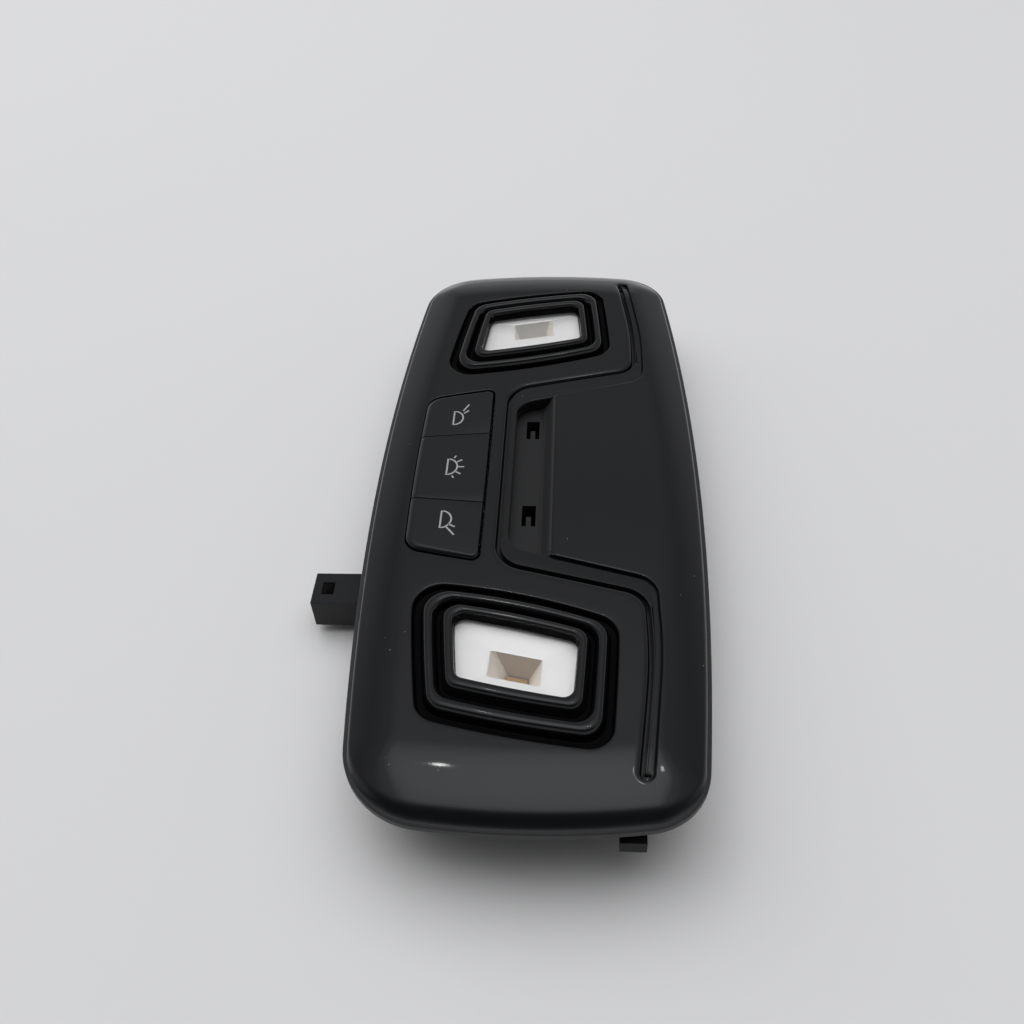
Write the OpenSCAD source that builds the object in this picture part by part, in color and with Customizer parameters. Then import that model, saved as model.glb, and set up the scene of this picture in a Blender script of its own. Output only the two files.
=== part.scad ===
// Roof console light for the rear seats of a car.
// A glossy face with two stepped lamp rings, three push keys and a clip recess
// sits on a matt carrier frame and a closed rear housing with a plug socket.
// The back of the housing is the plane z = 0 and the face looks up.

/* [Face] */
// Width of the glossy face at its widest place
face_w = 91.6; // [88:0.2:96]
// Length of the glossy face
face_l = 217.6; // [214:0.2:226]
// Height of the flat part of the face above the back
face_z = 30; // [29:0.1:34]
// Radius of the long side curves in plan
side_arc_r = 740; // [600:10:1200]
// Radius of the end curves in plan
end_arc_r = 200; // [160:5:300]
// Corner radius of the face in plan
corner_r = 10.5; // [8:0.5:14]
// Wall of the face
face_wall = 2.4; // [2:0.1:3]
// Width of the slope along the long sides
side_slope_w = 13; // [10:0.5:15]
// Width of the slope at the ends
end_slope_w = 18; // [14:0.5:20]
// Drop of the face over its slopes
slope_drop = 3.2; // [2:0.1:4]
// Further drop of the rolled edge
roll_drop = 2.8; // [1.5:0.1:3]
// Width of the rolled edge
roll_w = 3; // [2:0.1:4]

/* [Lamps] */
// Distance of each lamp's middle from the face's middle, as a share of the face's length
lamp_share = 0.30561; // [0.3:0.0005:0.312]
// Distance of the rings' widest point from the face's side, less the lamps' sideways place
lamp_side_gap = 18.1; // [17.5:0.1:19]
// Sideways place of the lamps' middle
lamp_x = -3.3; // [-4:0.1:-2]
// Depth of the outer groove under the face
outer_groove_d = 2; // [1:0.1:2.2]
// Height of the middle ridge above the face
ridge_h = 1.3; // [0.5:0.1:2]
// Depth of the inner groove under the face
inner_groove_d = 1.4; // [0.8:0.1:2]
// Height of the window rim above the face
rim_h = 2.1; // [1.2:0.1:3]
// Depth of the window ledge under the face
ledge_d = 1.5; // [1:0.1:2]
// Thickness of the lens
lens_t = 1.2; // [0.8:0.1:1.6]
// Width of the lens border that lies under the window ledge
lens_lap = 1; // [0.6:0.1:1.2]
// Thickness of the reflector's border
reflector_border_t = 0.9; // [0.6:0.1:1.2]
// Wall of the reflector
reflector_wall = 1; // [0.8:0.1:1.4]
// Depth of the funnel mouth under the face
funnel_mouth_d = 5; // [4.5:0.1:6]
// Length of the funnel mouth
funnel_l = 13.2; // [10:0.2:15]
// Width of the funnel mouth
funnel_w = 7.8; // [6:0.2:9]
// Turn of the funnel in plan
funnel_turn = 12; // [6:1:16]
// Length of the lamp's diode
diode_l = 5.6; // [4:0.1:6]
// Width of the lamp's diode
diode_w = 3; // [2:0.1:3.4]
// Height of the lamp's diode
diode_h = 1.2; // [0.8:0.1:1.6]

/* [Keys] */
// Distance of the key opening from the face's side
key_inset = 10.9; // [10.4:0.1:11.5]
// Width of the key opening
key_opening_w = 20.8; // [20:0.1:21.5]
// Half length of the key opening at its right edge
key_half_right = 36.4; // [35:0.1:37]
// Half length of the key opening at its left edge
key_half_left = 31.8; // [30:0.1:33]
// Gap between the keys and the opening
key_gap = 0.4; // [0.3:0.05:0.6]
// Half length of the middle key at its right edge
key_split_right = 14.7; // [13:0.1:16]
// Half length of the middle key at its left edge
key_split_left = 12.9; // [11:0.1:14]
// Depth of the key tops under the face
key_sink = 0.25; // [0.1:0.05:0.6]
// Drop of the keys' rounded borders
key_round_drop = 1.7; // [1:0.1:2]
// Wall of the keys
key_wall = 1.4; // [1:0.1:1.8]
// Travel of each key
key_travel = 0.8; // [0.4:0.1:0.9]
// Radius of the key stems
stem_r = 2.2; // [1.8:0.1:2.4]
// Clearance around the key stems
stem_clear = 0.08; // [0.05:0.01:0.1]
// Distance of the key stems from the key opening's right edge
stem_inset = 4.9; // [4.5:0.1:6]

/* [Channel and recess] */
// Width of the dark groove beside the channel
groove_w = 0.9; // [0.6:0.1:1.2]
// Depth of the dark groove under the face
groove_d = 1.9; // [1.4:0.1:2]
// Depth of the channel under the face
channel_d = 0.8; // [0.4:0.1:1.1]
// Width of the line between the channel and the panel
line_w = 0.4; // [0.3:0.05:0.6]
// Depth of that line under the face
line_d = 1.5; // [1.2:0.1:1.8]
// Depth of the recess floor under the face
recess_d = 5; // [4:0.1:5.5]
// Wall under and around the recess
recess_wall = 1.8; // [1.2:0.1:2]
// Distance of the recess from the key opening
recess_gap = 7.2; // [6.8:0.1:8]
// Width of the recess floor
recess_floor_w = 7.8; // [7.4:0.1:8.5]
// Width of the ramp beside the recess floor
ramp_w = 3.9; // [3:0.1:5]
// Length of each clip slot
clip_slot_l = 8; // [6:0.1:9]
// Width of each clip slot
clip_slot_w = 3.9; // [3:0.1:4]
// Width of the tongue in each clip slot
tongue_w = 1.4; // [1:0.1:1.6]

/* [Carrier and housing] */
// Width of the carrier lip that shows round the face
lip_w = 1.2; // [0.8:0.1:1.6]
// Thickness of the carrier
carrier_t = 2; // [1.6:0.1:2.4]
// Width of the carrier's rim along the sides
carrier_rim_w = 8; // [7:0.5:8.5]
// Width of the carrier's rim at the ends
carrier_end_w = 26; // [24:0.5:27]
// Distance of the housing's side from the face's side
side_margin = 4.8; // [4.6:0.1:5.2]
// Distance of the housing's end from the face's end
end_margin = 10.8; // [10:0.1:12]
// Wall of the rear housing
housing_wall = 2; // [1.6:0.1:2.4]
// Corner radius of the rear housing
housing_corner_r = 10; // [8:0.5:11]
// Distance of the screws from the housing's side
screw_side_inset = 13; // [12:0.5:14]
// Distance of the screws from the housing's end
screw_end_inset = 8; // [7.5:0.1:8.5]
// Radius of the screws
screw_r = 1.5; // [1.2:0.1:1.7]
// Radius of the screw heads
screw_head_r = 2.8; // [2.4:0.1:2.9]

/* [Electronics] */
// Top of the circuit board above the back
board_top_z = 14.6; // [14:0.1:15.2]
// Thickness of the circuit board
board_t = 1.6; // [1:0.1:1.6]
// Width of the plug socket
socket_w = 11; // [10:0.1:12]
// Height of the plug socket
socket_h = 9.8; // [9:0.1:10]
// How far the socket stands out of the housing's side
socket_out = 21.2; // [17:0.1:23]
// Wall of the plug socket
socket_wall = 1.2; // [1:0.1:1.4]
// Middle of the plug socket along the light
socket_y = -31.9; // [-34:0.1:-30]
// Number of contact pins in one row
pins_per_row = 3; // [2:1:3]
// Side of a contact pin
pin_side = 0.64; // [0.5:0.02:0.8]

/* [Hidden] */

// Places in plan
half_w = face_w / 2;
half_l = face_l / 2;
housing_w = face_w - 2 * side_margin;
housing_l = face_l - 2 * end_margin;
screw_x = housing_w / 2 - screw_side_inset;
screw_y = housing_l / 2 - screw_end_inset;
lamp_y = face_l * lamp_share;
socket_reach = housing_w / 2 + socket_out;
lamp_half_w = half_w - lamp_side_gap;
key_left_x = key_inset - half_w;
key_right_x = key_left_x + key_opening_w;
stem_x = key_right_x - stem_inset;
recess_left_x = key_right_x + recess_gap;
ramp_foot_x = recess_left_x + recess_floor_w;
ramp_top_x = ramp_foot_x + ramp_w;

// Heights
face_edge_z = face_z - slope_drop - roll_drop;
carrier_top_z = face_edge_z;
carrier_bottom_z = carrier_top_z - carrier_t;
ledge_z = face_z - ledge_d;
lens_bottom_z = ledge_z - lens_t;
ring_bottom_z = face_z - 4;
board_bottom_z = board_top_z - board_t;
diode_top_z = board_top_z + diode_h;
funnel_foot_z = diode_top_z + 0.3;
face_under_z = face_z - face_wall;

// Steps of curved outlines
fillet_steps = 6;
ring_steps = 6;
edge_steps = 12;
round_fn = 48;
disc_fn = 360;
eps = 0.01;

// Geometry helpers
function between(a, b, t) = a + (b - a) * t;
function direction(v) = atan2(v.y, v.x);
function unwind(from, to) = to < from ? to + 360 : to;
function arc(c, r, a0, a1, n, first = 0, last = 0) =
    [for (i = [first : n - last]) let (a = a0 + (a1 - a0) * i / n) c + r * [cos(a), sin(a)]];
function circle_cross(c1, r1, c2, r2, s) =
    let (d = norm(c2 - c1), a = (r1 * r1 - r2 * r2 + d * d) / (2 * d),
         h = sqrt(max(0, r1 * r1 - a * a)), u = (c2 - c1) / d)
    c1 + a * u + s * h * [-u.y, u.x];
function closest(p, q, ref) = norm(p - ref) < norm(q - ref) ? p : q;

// Closed outline of four bulged sides with round corners, anticlockwise.
// Side i runs from corner i to the next one on an arc of radius arcs[i].
function side_centre(a, b, r) =
    let (d = b - a, l = norm(d), n = [-d.y, d.x] / l) (a + b) / 2 + n * sqrt(r * r - l * l / 4);
function bulged_centres(q, arcs) = [for (i = [0 : 3]) side_centre(q[i], q[(i + 1) % 4], arcs[i])];
function bulged_fillets(q, arcs, radii) =
    let (c = bulged_centres(q, arcs))
    [for (i = [0 : 3])
        let (p = (i + 3) % 4, rp = arcs[p] - radii[i], rn = arcs[i] - radii[i])
        closest(circle_cross(c[p], rp, c[i], rn, 1), circle_cross(c[p], rp, c[i], rn, -1), q[i])];
function bulged_outline(q, arcs, radii, n = ring_steps) =
    let (c = bulged_centres(q, arcs), f = bulged_fillets(q, arcs, radii))
    [for (i = [0 : 3])
        let (p = (i + 3) % 4, k = (i + 1) % 4,
             a0 = direction(f[i] - c[p]), a1 = unwind(a0, direction(f[i] - c[i])),
             b0 = direction(f[i] - c[i]), b1 = unwind(b0, direction(f[k] - c[i])))
        each concat(arc(f[i], radii[i], a0, a1, fillet_steps),
                    arc(c[i], arcs[i], b0, b1, n, 1, 1))];

// Open path through given corners, each rounded with its own radius
function path_turn(a, b, c, r) =
    let (u = (a - b) / norm(a - b), v = (c - b) / norm(c - b), half = acos(u * v) / 2,
         m = (u + v) / norm(u + v), o = b + m * r / sin(half),
         p = b + u * r / tan(half), q = b + v * r / tan(half),
         a0 = direction(p - o), raw = direction(q - o) - a0,
         da = raw > 180 ? raw - 360 : (raw < -180 ? raw + 360 : raw))
    arc(o, r, a0, a0 + da, fillet_steps);
function rounded_path(pts, radii) =
    concat([pts[0]],
           [for (i = [1 : len(pts) - 2]) each path_turn(pts[i - 1], pts[i], pts[i + 1], radii[i])],
           [pts[len(pts) - 1]]);
function path_normal(p, i) =
    let (a = p[max(0, i - 1)], b = p[min(len(p) - 1, i + 1)], d = (b - a) / norm(b - a)) [-d.y, d.x];
function shifted_path(p, d) = [for (i = [0 : len(p) - 1]) p[i] + d * path_normal(p, i)];
function backwards(p) = [for (i = [len(p) - 1 : -1 : 0]) p[i]];

// Closed solid whose rings follow each other round a through hole
module hollow_loft(rings) {
    n = len(rings[0]);
    k = len(rings);
    polyhedron(
        points = [for (r = rings) each r],
        faces = [for (i = [0 : k - 1]) for (j = [0 : n - 1])
            [i * n + j, ((i + 1) % k) * n + j, ((i + 1) % k) * n + (j + 1) % n, i * n + (j + 1) % n]],
        convexity = 8);
}

// Closed solid whose rings are stacked from the bottom to the top
module stacked_loft(rings) {
    n = len(rings[0]);
    k = len(rings);
    polyhedron(
        points = [for (r = rings) each r],
        faces = concat(
            [[for (j = [0 : n - 1]) j]],
            [for (i = [0 : k - 2]) for (j = [0 : n - 1])
                [i * n + j, (i + 1) * n + j, (i + 1) * n + (j + 1) % n, i * n + (j + 1) % n]],
            [[for (j = [n - 1 : -1 : 0]) (k - 1) * n + j]]),
        convexity = 6);
}
function at_height(p, z) = [for (v = p) [v.x, v.y, z]];
function blend(a, b, t) = [for (i = [0 : len(a) - 1]) between(a[i], b[i], t)];

// Outline of the face and of the pieces behind it
function face_corner(w, l) =
    circle_cross([-(side_arc_r - w / 2), 0], side_arc_r, [0, -(end_arc_r - l / 2)], end_arc_r, 1);
function face_corner_out(w, l) =
    let (a = face_corner(w, l),
         b = circle_cross([-(side_arc_r - w / 2), 0], side_arc_r, [0, -(end_arc_r - l / 2)], end_arc_r, -1))
    (a.x > 0 && a.y > 0) ? a : b;
function face_outline(w, l, r) =
    let (q = face_corner_out(w, l))
    bulged_outline([[-q.x, -q.y], [q.x, -q.y], [q.x, q.y], [-q.x, q.y]],
                   [end_arc_r, side_arc_r, end_arc_r, side_arc_r], [r, r, r, r], edge_steps);

// Drop of the face at a distance d from its edge
function face_drop(d, slope_w) =
    slope_drop * pow(max(0, 1 - d / slope_w), 2) + roll_drop * pow(max(0, 1 - d / roll_w), 2.2);
function slope_profile(r, slope_w, top) =
    concat([for (f = [0, 0.08, 0.22, 0.42, 0.68, 1]) let (d = f * roll_w) [r - d, top - face_drop(d, slope_w)]],
           [for (f = [0.15 : 0.17 : 1]) let (d = between(roll_w, slope_w, f)) [r - d, top - face_drop(d, slope_w)]],
           [[r - slope_w, top]]);

// Round body whose rim has the slope of the face, one for each side
module slope_disc(r, slope_w, top) {
    rotate_extrude($fn = disc_fn)
        polygon(concat([[0, -eps], [r, -eps]], slope_profile(r, slope_w, top), [[0, top]]));
}
module face_body(inset, top) {
    w = face_w - 2 * inset;
    l = face_l - 2 * inset;
    difference() {
        intersection() {
            translate([w / 2 - side_arc_r, 0, 0]) slope_disc(side_arc_r, side_slope_w, top);
            translate([side_arc_r - w / 2, 0, 0]) slope_disc(side_arc_r, side_slope_w, top);
            translate([0, l / 2 - end_arc_r, 0]) slope_disc(end_arc_r, end_slope_w, top);
            translate([0, end_arc_r - l / 2, 0]) slope_disc(end_arc_r, end_slope_w, top);
        }
        for (x = [0, 1]) for (y = [0, 1])
            mirror([x, 0, 0]) mirror([0, y, 0]) corner_trim(w, l, corner_r - inset, top);
    }
}

// What the rolled corner of the face leaves out of a sharp corner
corner_slope_w = 8;
trim_reach = 30;
module corner_trim(w, l, r, top) {
    q = face_corner_out(w, l);
    side_c = [w / 2 - side_arc_r, 0];
    end_c = [0, l / 2 - end_arc_r];
    f = closest(circle_cross(side_c, side_arc_r - r, end_c, end_arc_r - r, 1),
                circle_cross(side_c, side_arc_r - r, end_c, end_arc_r - r, -1), q);
    u = (f - side_c) / norm(f - side_c);
    v = (f - end_c) / norm(f - end_c);
    difference() {
        translate([0, 0, -1])
            linear_extrude(top + 2)
                polygon([f, f + trim_reach * u, f + trim_reach * (u + v), f + trim_reach * v]);
        translate([f.x, f.y, -2])
            rotate_extrude($fn = 96)
                polygon(concat([[0, 0], [r, 0]],
                    [for (p = slope_profile(r, corner_slope_w, top)) [p.x, p.y + 2]], [[0, top + 5]]));
    }
}

// Outlines of the far lamp: the outer groove's edge and the window
ring_outer = bulged_outline(
    [[lamp_x - lamp_half_w, lamp_y - 23.1], [lamp_x + lamp_half_w - 2.1, lamp_y - 11],
     [lamp_x + lamp_half_w - 4.5, lamp_y + 25.8], [lamp_x - lamp_half_w + 5.4, lamp_y + 17.9]],
    [160, 700, 240, 450], [7.5, 7, 6, 6.5]);
ring_window = bulged_outline(
    [[lamp_x - lamp_half_w + 11.4, lamp_y - 12.2], [lamp_x + lamp_half_w - 11.9, lamp_y - 4.9],
     [lamp_x + lamp_half_w - 13.2, lamp_y + 13.8], [lamp_x - lamp_half_w + 13.5, lamp_y + 8.1]],
    [260, 500, 260, 400], [2.6, 2.6, 2.6, 2.6]);
function ring_at(t, z) = at_height(blend(ring_outer, ring_window, t), z);

// Section across the lamp rings: share of the way from the outer edge to the
// window, and height over the face
ring_section = [
    [-0.04, -4], [-0.04, -0.3], [0.03, -0.3], [0.05, -outer_groove_d], [0.17, -outer_groove_d],
    [0.25, ridge_h - 0.7], [0.31, ridge_h - 0.1], [0.4, ridge_h], [0.48, ridge_h - 0.15], [0.53, ridge_h - 0.8],
    [0.58, -inner_groove_d], [0.69, -inner_groove_d],
    [0.76, rim_h - 0.8], [0.81, rim_h - 0.1], [0.89, rim_h], [0.96, rim_h - 0.35], [1, rim_h - 1.1],
    [1, -ledge_d], [0.86, -ledge_d], [0.86, -4]];
module lamp_rings() {
    hollow_loft([for (p = ring_section) ring_at(p[0], face_z + p[1])]);
}
module for_lamp(near) {
    mirror([0, near ? 1 : 0, 0]) children();
}

// Edges of the channel: the side of the keys and the side of the panel
channel_inset = 10.5;
channel_end_y = half_l - channel_inset;
recess_half_l = 30.2;
channel_x = recess_left_x - 3.4;
outer_corners = [[half_w - 20.5, channel_end_y], [half_w - 16.7, 66], [half_w - 17.2, 47], [channel_x, 36.9]];
inner_corners = [[half_w - 16.9, channel_end_y], [half_w - 13.1, 64], [half_w - 13.5, 41.4],
                 [recess_left_x, recess_half_l]];
function both_sides(p) = concat(p, [for (v = backwards(p)) [v.x, -v.y]]);
outer_edge = rounded_path(both_sides(outer_corners), [0, 150, 6.5, 9, 9, 6.5, 150, 0]);
inner_edge = rounded_path(both_sides(inner_corners), [0, 150, 7, 6.5, 6.5, 7, 150, 0]);
module strip(edge, from, to, z0, z1) {
    translate([0, 0, z0])
        linear_extrude(z1 - z0)
            polygon(concat(shifted_path(edge, from), backwards(shifted_path(edge, to))));
}
module channel_band(z0, z1, grow) {
    translate([0, 0, z0])
        linear_extrude(z1 - z0)
            polygon(concat(shifted_path(outer_edge, -grow), backwards(shifted_path(inner_edge, grow))));
}

// Recess left of the panel, as wide in plan as the channel's inner edge leaves it
recess_skew = 5.4;
recess_edge = rounded_path(
    both_sides([[recess_left_x + 18.9, recess_half_l + recess_skew], [recess_left_x, recess_half_l]]),
    [0, 6.5, 6.5, 0]);
module recess_area(grow, z0, z1, right_x) {
    intersection() {
        translate([0, 0, z0]) linear_extrude(z1 - z0) polygon(shifted_path(recess_edge, -grow));
        translate([-50, -50, z0]) cube([50 + right_x, 100, z1 - z0]);
    }
}
recess_floor_z = face_z - recess_d;
gutter_w = 0.5;
gutter_d = 0.6;
module recess_hollow() {
    intersection() {
        recess_area(0, recess_floor_z - gutter_d, face_z + 1, ramp_top_x + 1);
        rotate([90, 0, 0])
            linear_extrude(80, center = true)
                polygon([[recess_left_x - 3, recess_floor_z], [ramp_foot_x - gutter_w, recess_floor_z],
                         [ramp_foot_x - gutter_w, recess_floor_z - gutter_d],
                         [ramp_foot_x, recess_floor_z - gutter_d],
                         [ramp_top_x, face_z - 0.3], [ramp_top_x, face_z + 1], [recess_left_x - 3, face_z + 1]]);
    }
}

// Clip slots in the recess floor, each with a tongue at its near end
slot_x = recess_left_x + 4.95;
slot_ys = [22.1, -14.7];
tongue_l = 3.6;
module clip_slots() {
    for (y = slot_ys)
        difference() {
            translate([slot_x - clip_slot_w / 2, y - clip_slot_l / 2, recess_floor_z - recess_wall - 1])
                cube([clip_slot_w, clip_slot_l, recess_wall + 2]);
            translate([slot_x - tongue_w / 2, y - clip_slot_l / 2 - 1, recess_floor_z - recess_wall - 2])
                cube([tongue_w, tongue_l + 1, recess_wall + 1.6]);
        }
}

// Key opening and the keys in it
function key_outline(inset_left, inset_end, inset_right) =
    bulged_outline(
        [[key_left_x + inset_left, -key_half_left + inset_end],
         [key_right_x - inset_right, -key_half_right + inset_end],
         [key_right_x - inset_right, key_half_right - inset_end],
         [key_left_x + inset_left, key_half_left - inset_end]],
        [400, 4000, 400, 900],
        [5.5 - min(3, inset_left), 2.2 - min(1, inset_right), 2.2 - min(1, inset_right), 5.5 - min(3, inset_left)]);
key_top_z = face_z - key_sink;
key_bottom_z = face_z - 6;
key_border = key_outline(key_gap, key_gap, key_gap);
key_crown = key_outline(4, 4.2, 1);
// Rounding of the keys: share of the way inwards and share of the drop
key_rounding = [[0, 1], [0.1, 0.66], [0.28, 0.34], [0.58, 0.1], [1, 0]];
module key_block() {
    stacked_loft(concat([at_height(key_border, key_bottom_z)],
        [for (p = key_rounding) at_height(blend(key_border, key_crown, p[0]), key_top_z - p[1] * key_round_drop)]));
}
key_split_gap = 0.35;
// Zones of the three keys along the light, from the near one to the far one
module key_zone(index, gap, z0, z1) {
    x0 = key_left_x - 3;
    x1 = key_right_x + 3;
    slope = (key_split_right - key_split_left) / key_opening_w;
    y0 = key_split_left - 3 * slope;
    y1 = key_split_right + 3 * slope;
    far = key_half_right + 6;
    translate([0, 0, z0])
        linear_extrude(z1 - z0)
            polygon(index == 1
                ? [[x0, -y0 + gap], [x1, -y1 + gap], [x1, y1 - gap], [x0, y0 - gap]]
                : (index == 2
                    ? [[x0, y0 + gap], [x1, y1 + gap], [x1, far], [x0, far]]
                    : [[x0, -far], [x1, -far], [x1, -y1 - gap], [x0, -y0 - gap]]));
}
key_ys = [-24, 0, 24];
stem_foot_z = board_top_z + 4.7;
tab_w = 10;
tab_reach = 1.2;
tab_h = 1.5;
tab_top_z = face_under_z - 0.9;
module push_key(index) {
    difference() {
        union() {
            intersection() {
                key_block();
                key_zone(index, key_split_gap / 2, key_bottom_z - 1, face_z + 1);
            }
            intersection() {
                translate([key_left_x - tab_reach + key_gap, key_ys[index] - tab_w / 2, tab_top_z - tab_h])
                    cube([key_opening_w + 2 * (tab_reach - key_gap), tab_w, tab_h]);
                key_zone(index, key_split_gap / 2, key_bottom_z - 1, face_z + 1);
            }
        }
        intersection() {
            translate([0, 0, key_bottom_z - 1])
                linear_extrude(key_top_z - key_round_drop - key_wall - key_bottom_z + 1)
                    polygon(key_outline(key_gap + key_wall, key_gap + key_wall, key_gap + key_wall));
            key_zone(index, key_split_gap / 2 + key_wall, key_bottom_z - 2, face_z + 1);
        }
    }
    translate([stem_x, key_ys[index], stem_foot_z])
        cylinder(h = key_top_z - key_round_drop - stem_foot_z, r = stem_r, $fn = round_fn);
}

// Screw bosses of the face
module at_screws() {
    for (x = [-screw_x, screw_x])
        for (y = [-screw_y, screw_y])
            translate([x, y, 0]) children();
}
boss_r = 3.4;
pilot_r = screw_r - 0.2;
pilot_top_z = face_under_z - 1.2;

module bezel() {
    color([0.03, 0.03, 0.035])
    difference() {
        union() {
            difference() {
                face_body(0, face_z);
                difference() {
                    face_body(face_wall, face_under_z);
                    channel_band(face_under_z - 1.6, face_z, 1.2);
                    recess_area(recess_wall, recess_floor_z - recess_wall, face_z, ramp_top_x + recess_wall);
                    intersection() {
                        at_screws() cylinder(h = face_z, r = boss_r, $fn = round_fn);
                        translate([-50, -150, carrier_top_z]) cube([100, 300, 20]);
                    }
                }
                translate([-100, -150, -1]) cube([200, 300, carrier_top_z + 1]);
                for (near = [false, true])
                    for_lamp(near)
                        translate([0, 0, carrier_top_z])
                            linear_extrude(20) polygon(blend(ring_outer, ring_window, 0.01));
            }
            for (near = [false, true]) for_lamp(near) lamp_rings();
        }
        channel_band(face_z - channel_d, face_z + 1, 0);
        strip(outer_edge, 0.45, 0.45 + groove_w, face_z - groove_d, face_z);
        strip(inner_edge, -line_w, 0, face_z - line_d, face_z);
        recess_hollow();
        clip_slots();
        translate([0, 0, carrier_top_z]) linear_extrude(20) polygon(key_outline(0, 0, 0));
        at_screws()
            translate([0, 0, carrier_top_z - 1])
                cylinder(h = pilot_top_z - carrier_top_z + 1, r = pilot_r, $fn = round_fn);
    }
}

// Shallow rebate in the carrier's back that centres the housing
rebate_d = 0.4;
rebate_clear = 0.15;
housing_top_z = carrier_bottom_z + rebate_d;
module carrier_frame() {
    color([0.12, 0.12, 0.125])
    difference() {
        translate([0, 0, carrier_bottom_z])
            linear_extrude(carrier_t)
                polygon(face_outline(face_w + 2 * lip_w, face_l + 2 * lip_w, corner_r + lip_w));
        translate([0, 0, carrier_bottom_z - 1])
            linear_extrude(carrier_t + 2)
                polygon(face_outline(face_w + 2 * lip_w - 2 * carrier_rim_w,
                                     face_l + 2 * lip_w - 2 * carrier_end_w, corner_r - 2));
        translate([0, 0, carrier_bottom_z - 1])
            linear_extrude(1 + rebate_d)
                polygon(face_outline(housing_w + 2 * rebate_clear, housing_l + 2 * rebate_clear,
                                     housing_corner_r + rebate_clear));
        at_screws()
            translate([0, 0, carrier_bottom_z - 1]) cylinder(h = carrier_t + 2, r = screw_r + 0.2, $fn = round_fn);
    }
}

// Rear housing with its screw pillars, board posts and locating tab
pillar_r = 4.6;
head_seat_z = 11.6;
head_clear = 0.3;
post_r = 2.6;
post_left_x = 12 - housing_w / 2;
post_right_x = housing_w / 2 - 17;
post_points = [[post_left_x, 55], [post_right_x, 55], [post_right_x, -55], [post_left_x, -60], [post_right_x, 0]];
locator_x = half_w - 21.45;
locator_w = 6;
locator_z = 15;
locator_h = 4;
locator_reach = half_l - 0.2;
socket_clear = 0.3;
housing_side_cut = 11;
socket_top_z = board_bottom_z;
socket_bottom_z = socket_top_z - socket_h;
module rear_housing() {
    color([0.06, 0.06, 0.065])
    difference() {
        union() {
            difference() {
                linear_extrude(housing_top_z)
                    polygon(face_outline(housing_w, housing_l, housing_corner_r));
                translate([0, 0, housing_wall])
                    linear_extrude(housing_top_z)
                        polygon(face_outline(housing_w - 2 * housing_wall, housing_l - 2 * housing_wall,
                                             housing_corner_r - housing_wall));
            }
            at_screws() cylinder(h = housing_top_z, r = pillar_r, $fn = round_fn);
            for (p = post_points)
                translate([p.x, p.y, 0]) cylinder(h = board_bottom_z, r = post_r, $fn = round_fn);
            translate([locator_x - locator_w / 2, -locator_reach, locator_z])
                cube([locator_w, locator_reach - housing_l / 2 + 2 * housing_wall, locator_h]);
        }
        at_screws() {
            translate([0, 0, -1]) cylinder(h = head_seat_z + 1, r = screw_head_r + head_clear, $fn = round_fn);
            cylinder(h = housing_top_z + 1, r = screw_r + 0.2, $fn = round_fn);
        }
        translate([-housing_w, socket_y - socket_w / 2 - socket_clear, socket_bottom_z - socket_clear])
            cube([housing_w / 2 + housing_side_cut, socket_w + 2 * socket_clear, socket_h + 2 * socket_clear]);
    }
}

module lamp_lens() {
    color([0.9, 0.93, 0.95, 0.35])
    translate([0, 0, lens_bottom_z])
        linear_extrude(lens_t) polygon(blend(ring_outer, ring_window, 1 - lens_lap / 10));
}
module near_lens() {
    for_lamp(true) lamp_lens();
}
module far_lens() {
    for_lamp(false) lamp_lens();
}

// Reflector: a shallow dish that falls to the mouth of a funnel over the diode
function turned(p, a) = [p.x * cos(a) - p.y * sin(a), p.x * sin(a) + p.y * cos(a)];
function funnel_outline(l, w, r) =
    [for (p = bulged_outline([[-l / 2, -w / 2], [l / 2, -w / 2], [l / 2, w / 2], [-l / 2, w / 2]],
                             [900, 900, 900, 900], [r, r, r, r]))
        [lamp_x, lamp_y] + turned(p, funnel_turn)];
border_top_z = lens_bottom_z;
funnel_mouth_z = face_z - funnel_mouth_d;
border = blend(ring_outer, ring_window, 1 - lens_lap / 10);
funnel_mouth = funnel_outline(funnel_l, funnel_w, 0.8);
funnel_foot = funnel_outline(diode_l + 0.4, diode_w + 0.4, 0.4);
funnel_mouth_back = funnel_outline(funnel_l + 2 * reflector_wall, funnel_w + 2 * reflector_wall, 1.4);
funnel_foot_back = funnel_outline(diode_l + 2 * reflector_wall, diode_w + 2 * reflector_wall, 1);
module reflector() {
    color([0.85, 0.85, 0.86])
    hollow_loft([
        at_height(border, border_top_z),
        at_height(ring_window, border_top_z),
        at_height(blend(ring_window, funnel_mouth, 0.45), between(border_top_z, funnel_mouth_z, 0.62)),
        at_height(blend(ring_window, funnel_mouth, 0.97), between(border_top_z, funnel_mouth_z, 0.95)),
        at_height(funnel_mouth, funnel_mouth_z - 0.2),
        at_height(funnel_foot, funnel_foot_z),
        at_height(funnel_foot_back, funnel_foot_z),
        at_height(funnel_mouth_back, funnel_mouth_z - reflector_wall),
        at_height(blend(ring_window, funnel_mouth, 0.1), border_top_z - reflector_border_t - reflector_wall),
        at_height(border, border_top_z - reflector_border_t)]);
}
module near_reflector() {
    for_lamp(true) reflector();
}
module far_reflector() {
    for_lamp(false) reflector();
}

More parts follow.
